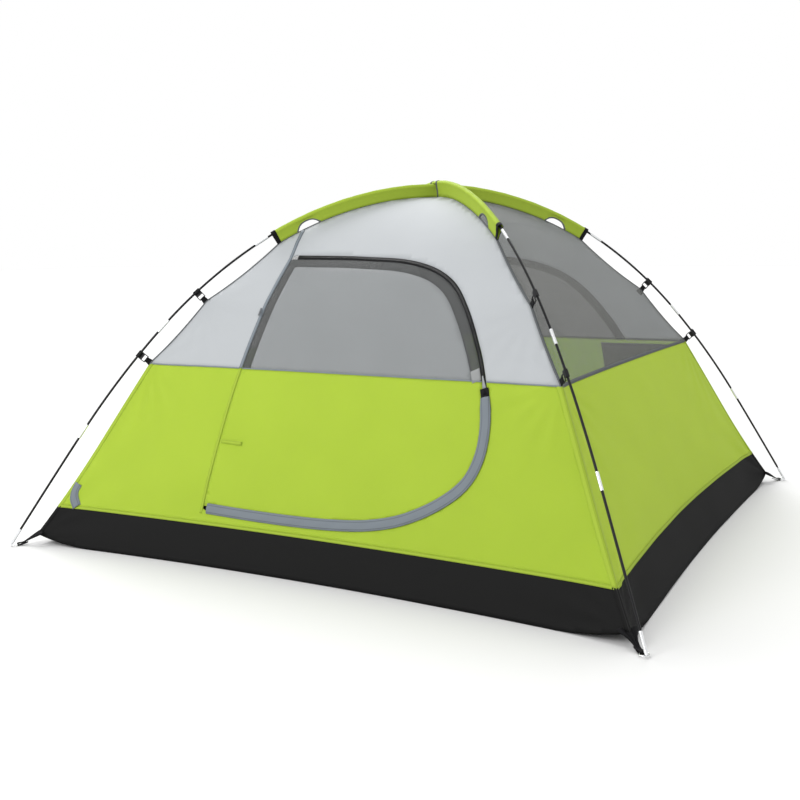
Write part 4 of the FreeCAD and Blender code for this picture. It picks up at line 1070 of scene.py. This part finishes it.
def build_corner_straps():
    """The tub's corner gathers into a strap that loops round the ring."""
    parts = []
    for leg, (_, angle) in LEGS.items():
        radial = np.array(out_of(angle))
        sides = np.array((-sin(angle), cos(angle), 0))
        tail, tangent, _, _ = leg_frame(leg, HALF)
        end = tail + tangent * ((tail.z - RING_HEIGHT) / -tangent.z)
        ring = np.array(end) @ radial - RING_BACK
        start = RIDGE[0, 1] - STRAP_BACK
        line = [(start + (ring - 0.018 - start) * t, STRAP_HIGH - STRAP_LOW * t) for t in STRAP_RUN]
        line += [(ring + past, height) for past, height in STRAP_LOOP]
        line, width, fold = (smooth(np.array(v).reshape(len(v), -1), 4)
                             for v in (line, STRAP_WIDTH, STRAP_FOLD))
        run, right = run_along(line), right_of(line)
        top, under, uv = [], [], []
        for s in np.linspace(-1, 1, 17):
            bend = fold * cos(s * STRAP_PLEATS)
            beside = s * width
            for grid, off in ((top, STRAP_HALF_THICK), (under, -STRAP_HALF_THICK)):
                at = line - right * (bend + off)
                grid.append(at[:, :1] * radial + at[:, 1:] * np.array((0, 0, 1)) + beside * sides)
            uv.append(np.stack([run, beside[:, 0]], -1))
        parts.append(shell(*(np.stack(grid, 1) for grid in (top, under, uv))))
    piece("corner_webbing", merge(parts), "webbing", replaces=["corner_straps"],
          slot="webbing_black")


CORD_ROUND, CORD_SIDES = 0.0014, 8


def build_cords():
    """Elastic cord inside each pole."""
    arcs = np.linspace(-(HALF - SECTION), HALF - SECTION, 140)
    uv = np.array([(arc, k * 0.001) for arc in arcs for k in range(CORD_SIDES)])
    turns = np.linspace(0, 2 * pi, CORD_SIDES, endpoint=False)
    ring = [np.array((cos(t), sin(t))) * CORD_ROUND for t in turns]
    parts = []
    for pole in ("a", "b"):
        rows = []
        for arc in arcs:
            point, axes = pole_axes(pole, arc)
            rows.append([spot @ axes + point for spot in ring])
        parts.append(solid_loft(np.array(rows), uv))
    piece("elastic_cords", merge(parts), "elastic", replaces=["shock_cords"], slot="elastic")


# ---------------- groundsheet
SHEET_LEVEL, CREASE = 0.0022, 0.0008


def ground(x, y, lift=0.0):
    foot = float(RIDGE[0, 1])
    u = np.minimum(np.abs(x) / (foot * cos(PHI)), np.abs(y) / (foot * sin(PHI)))
    corner = hem_level(u) - HEM_CLEAR
    crease = CREASE * np.sin(9 * x + 3 * y) * np.sin(7 * y - 2 * x) * (corner < 1e-4)
    return np.stack([x, y, SHEET_LEVEL + corner + crease + lift], -1)


def build_groundsheet():
    outline = []
    for side, hand in (("front", 1), ("right", 1), ("rear", -1), ("left", -1)):
        u = hand * np.linspace(-1, 1, 60)[:-1]
        rim = bare(side, u * (half_width(side, HEM_FOOT) - EDGE), hem_level(u))
        outline.append(rim[:, :2])
    sheet(panel("groundsheet_cloth", "ground", np.vstack(outline), "tub", spacing=0.045,
                thick=0.0015, replaces=["groundsheet"], slot="floor_black"))


build_walls()
build_windows()
build_zip()
build_flaps()
build_seams()
build_ridges()
build_sleeves()
build_tabs()
build_corner_straps()
build_cords()
build_groundsheet()

# ---------------- finishes of the frame's own parts
FINISHES = {"pole": "rod", "pole_tips": "steel", "pole_ferrules": "steel", "ring_pins": "steel",
            "clip": "plastic", "zip_slider": "slider", "zip_pull": "slider",
            "tie_back_toggle": "toggle"}

for name, obj in nodes.items():
    finish = FINISHES.get(name, FINISHES.get(name.split("_")[0]))
    if finish:
        for holder in obj.material_slots:
            holder.material = M[finish]
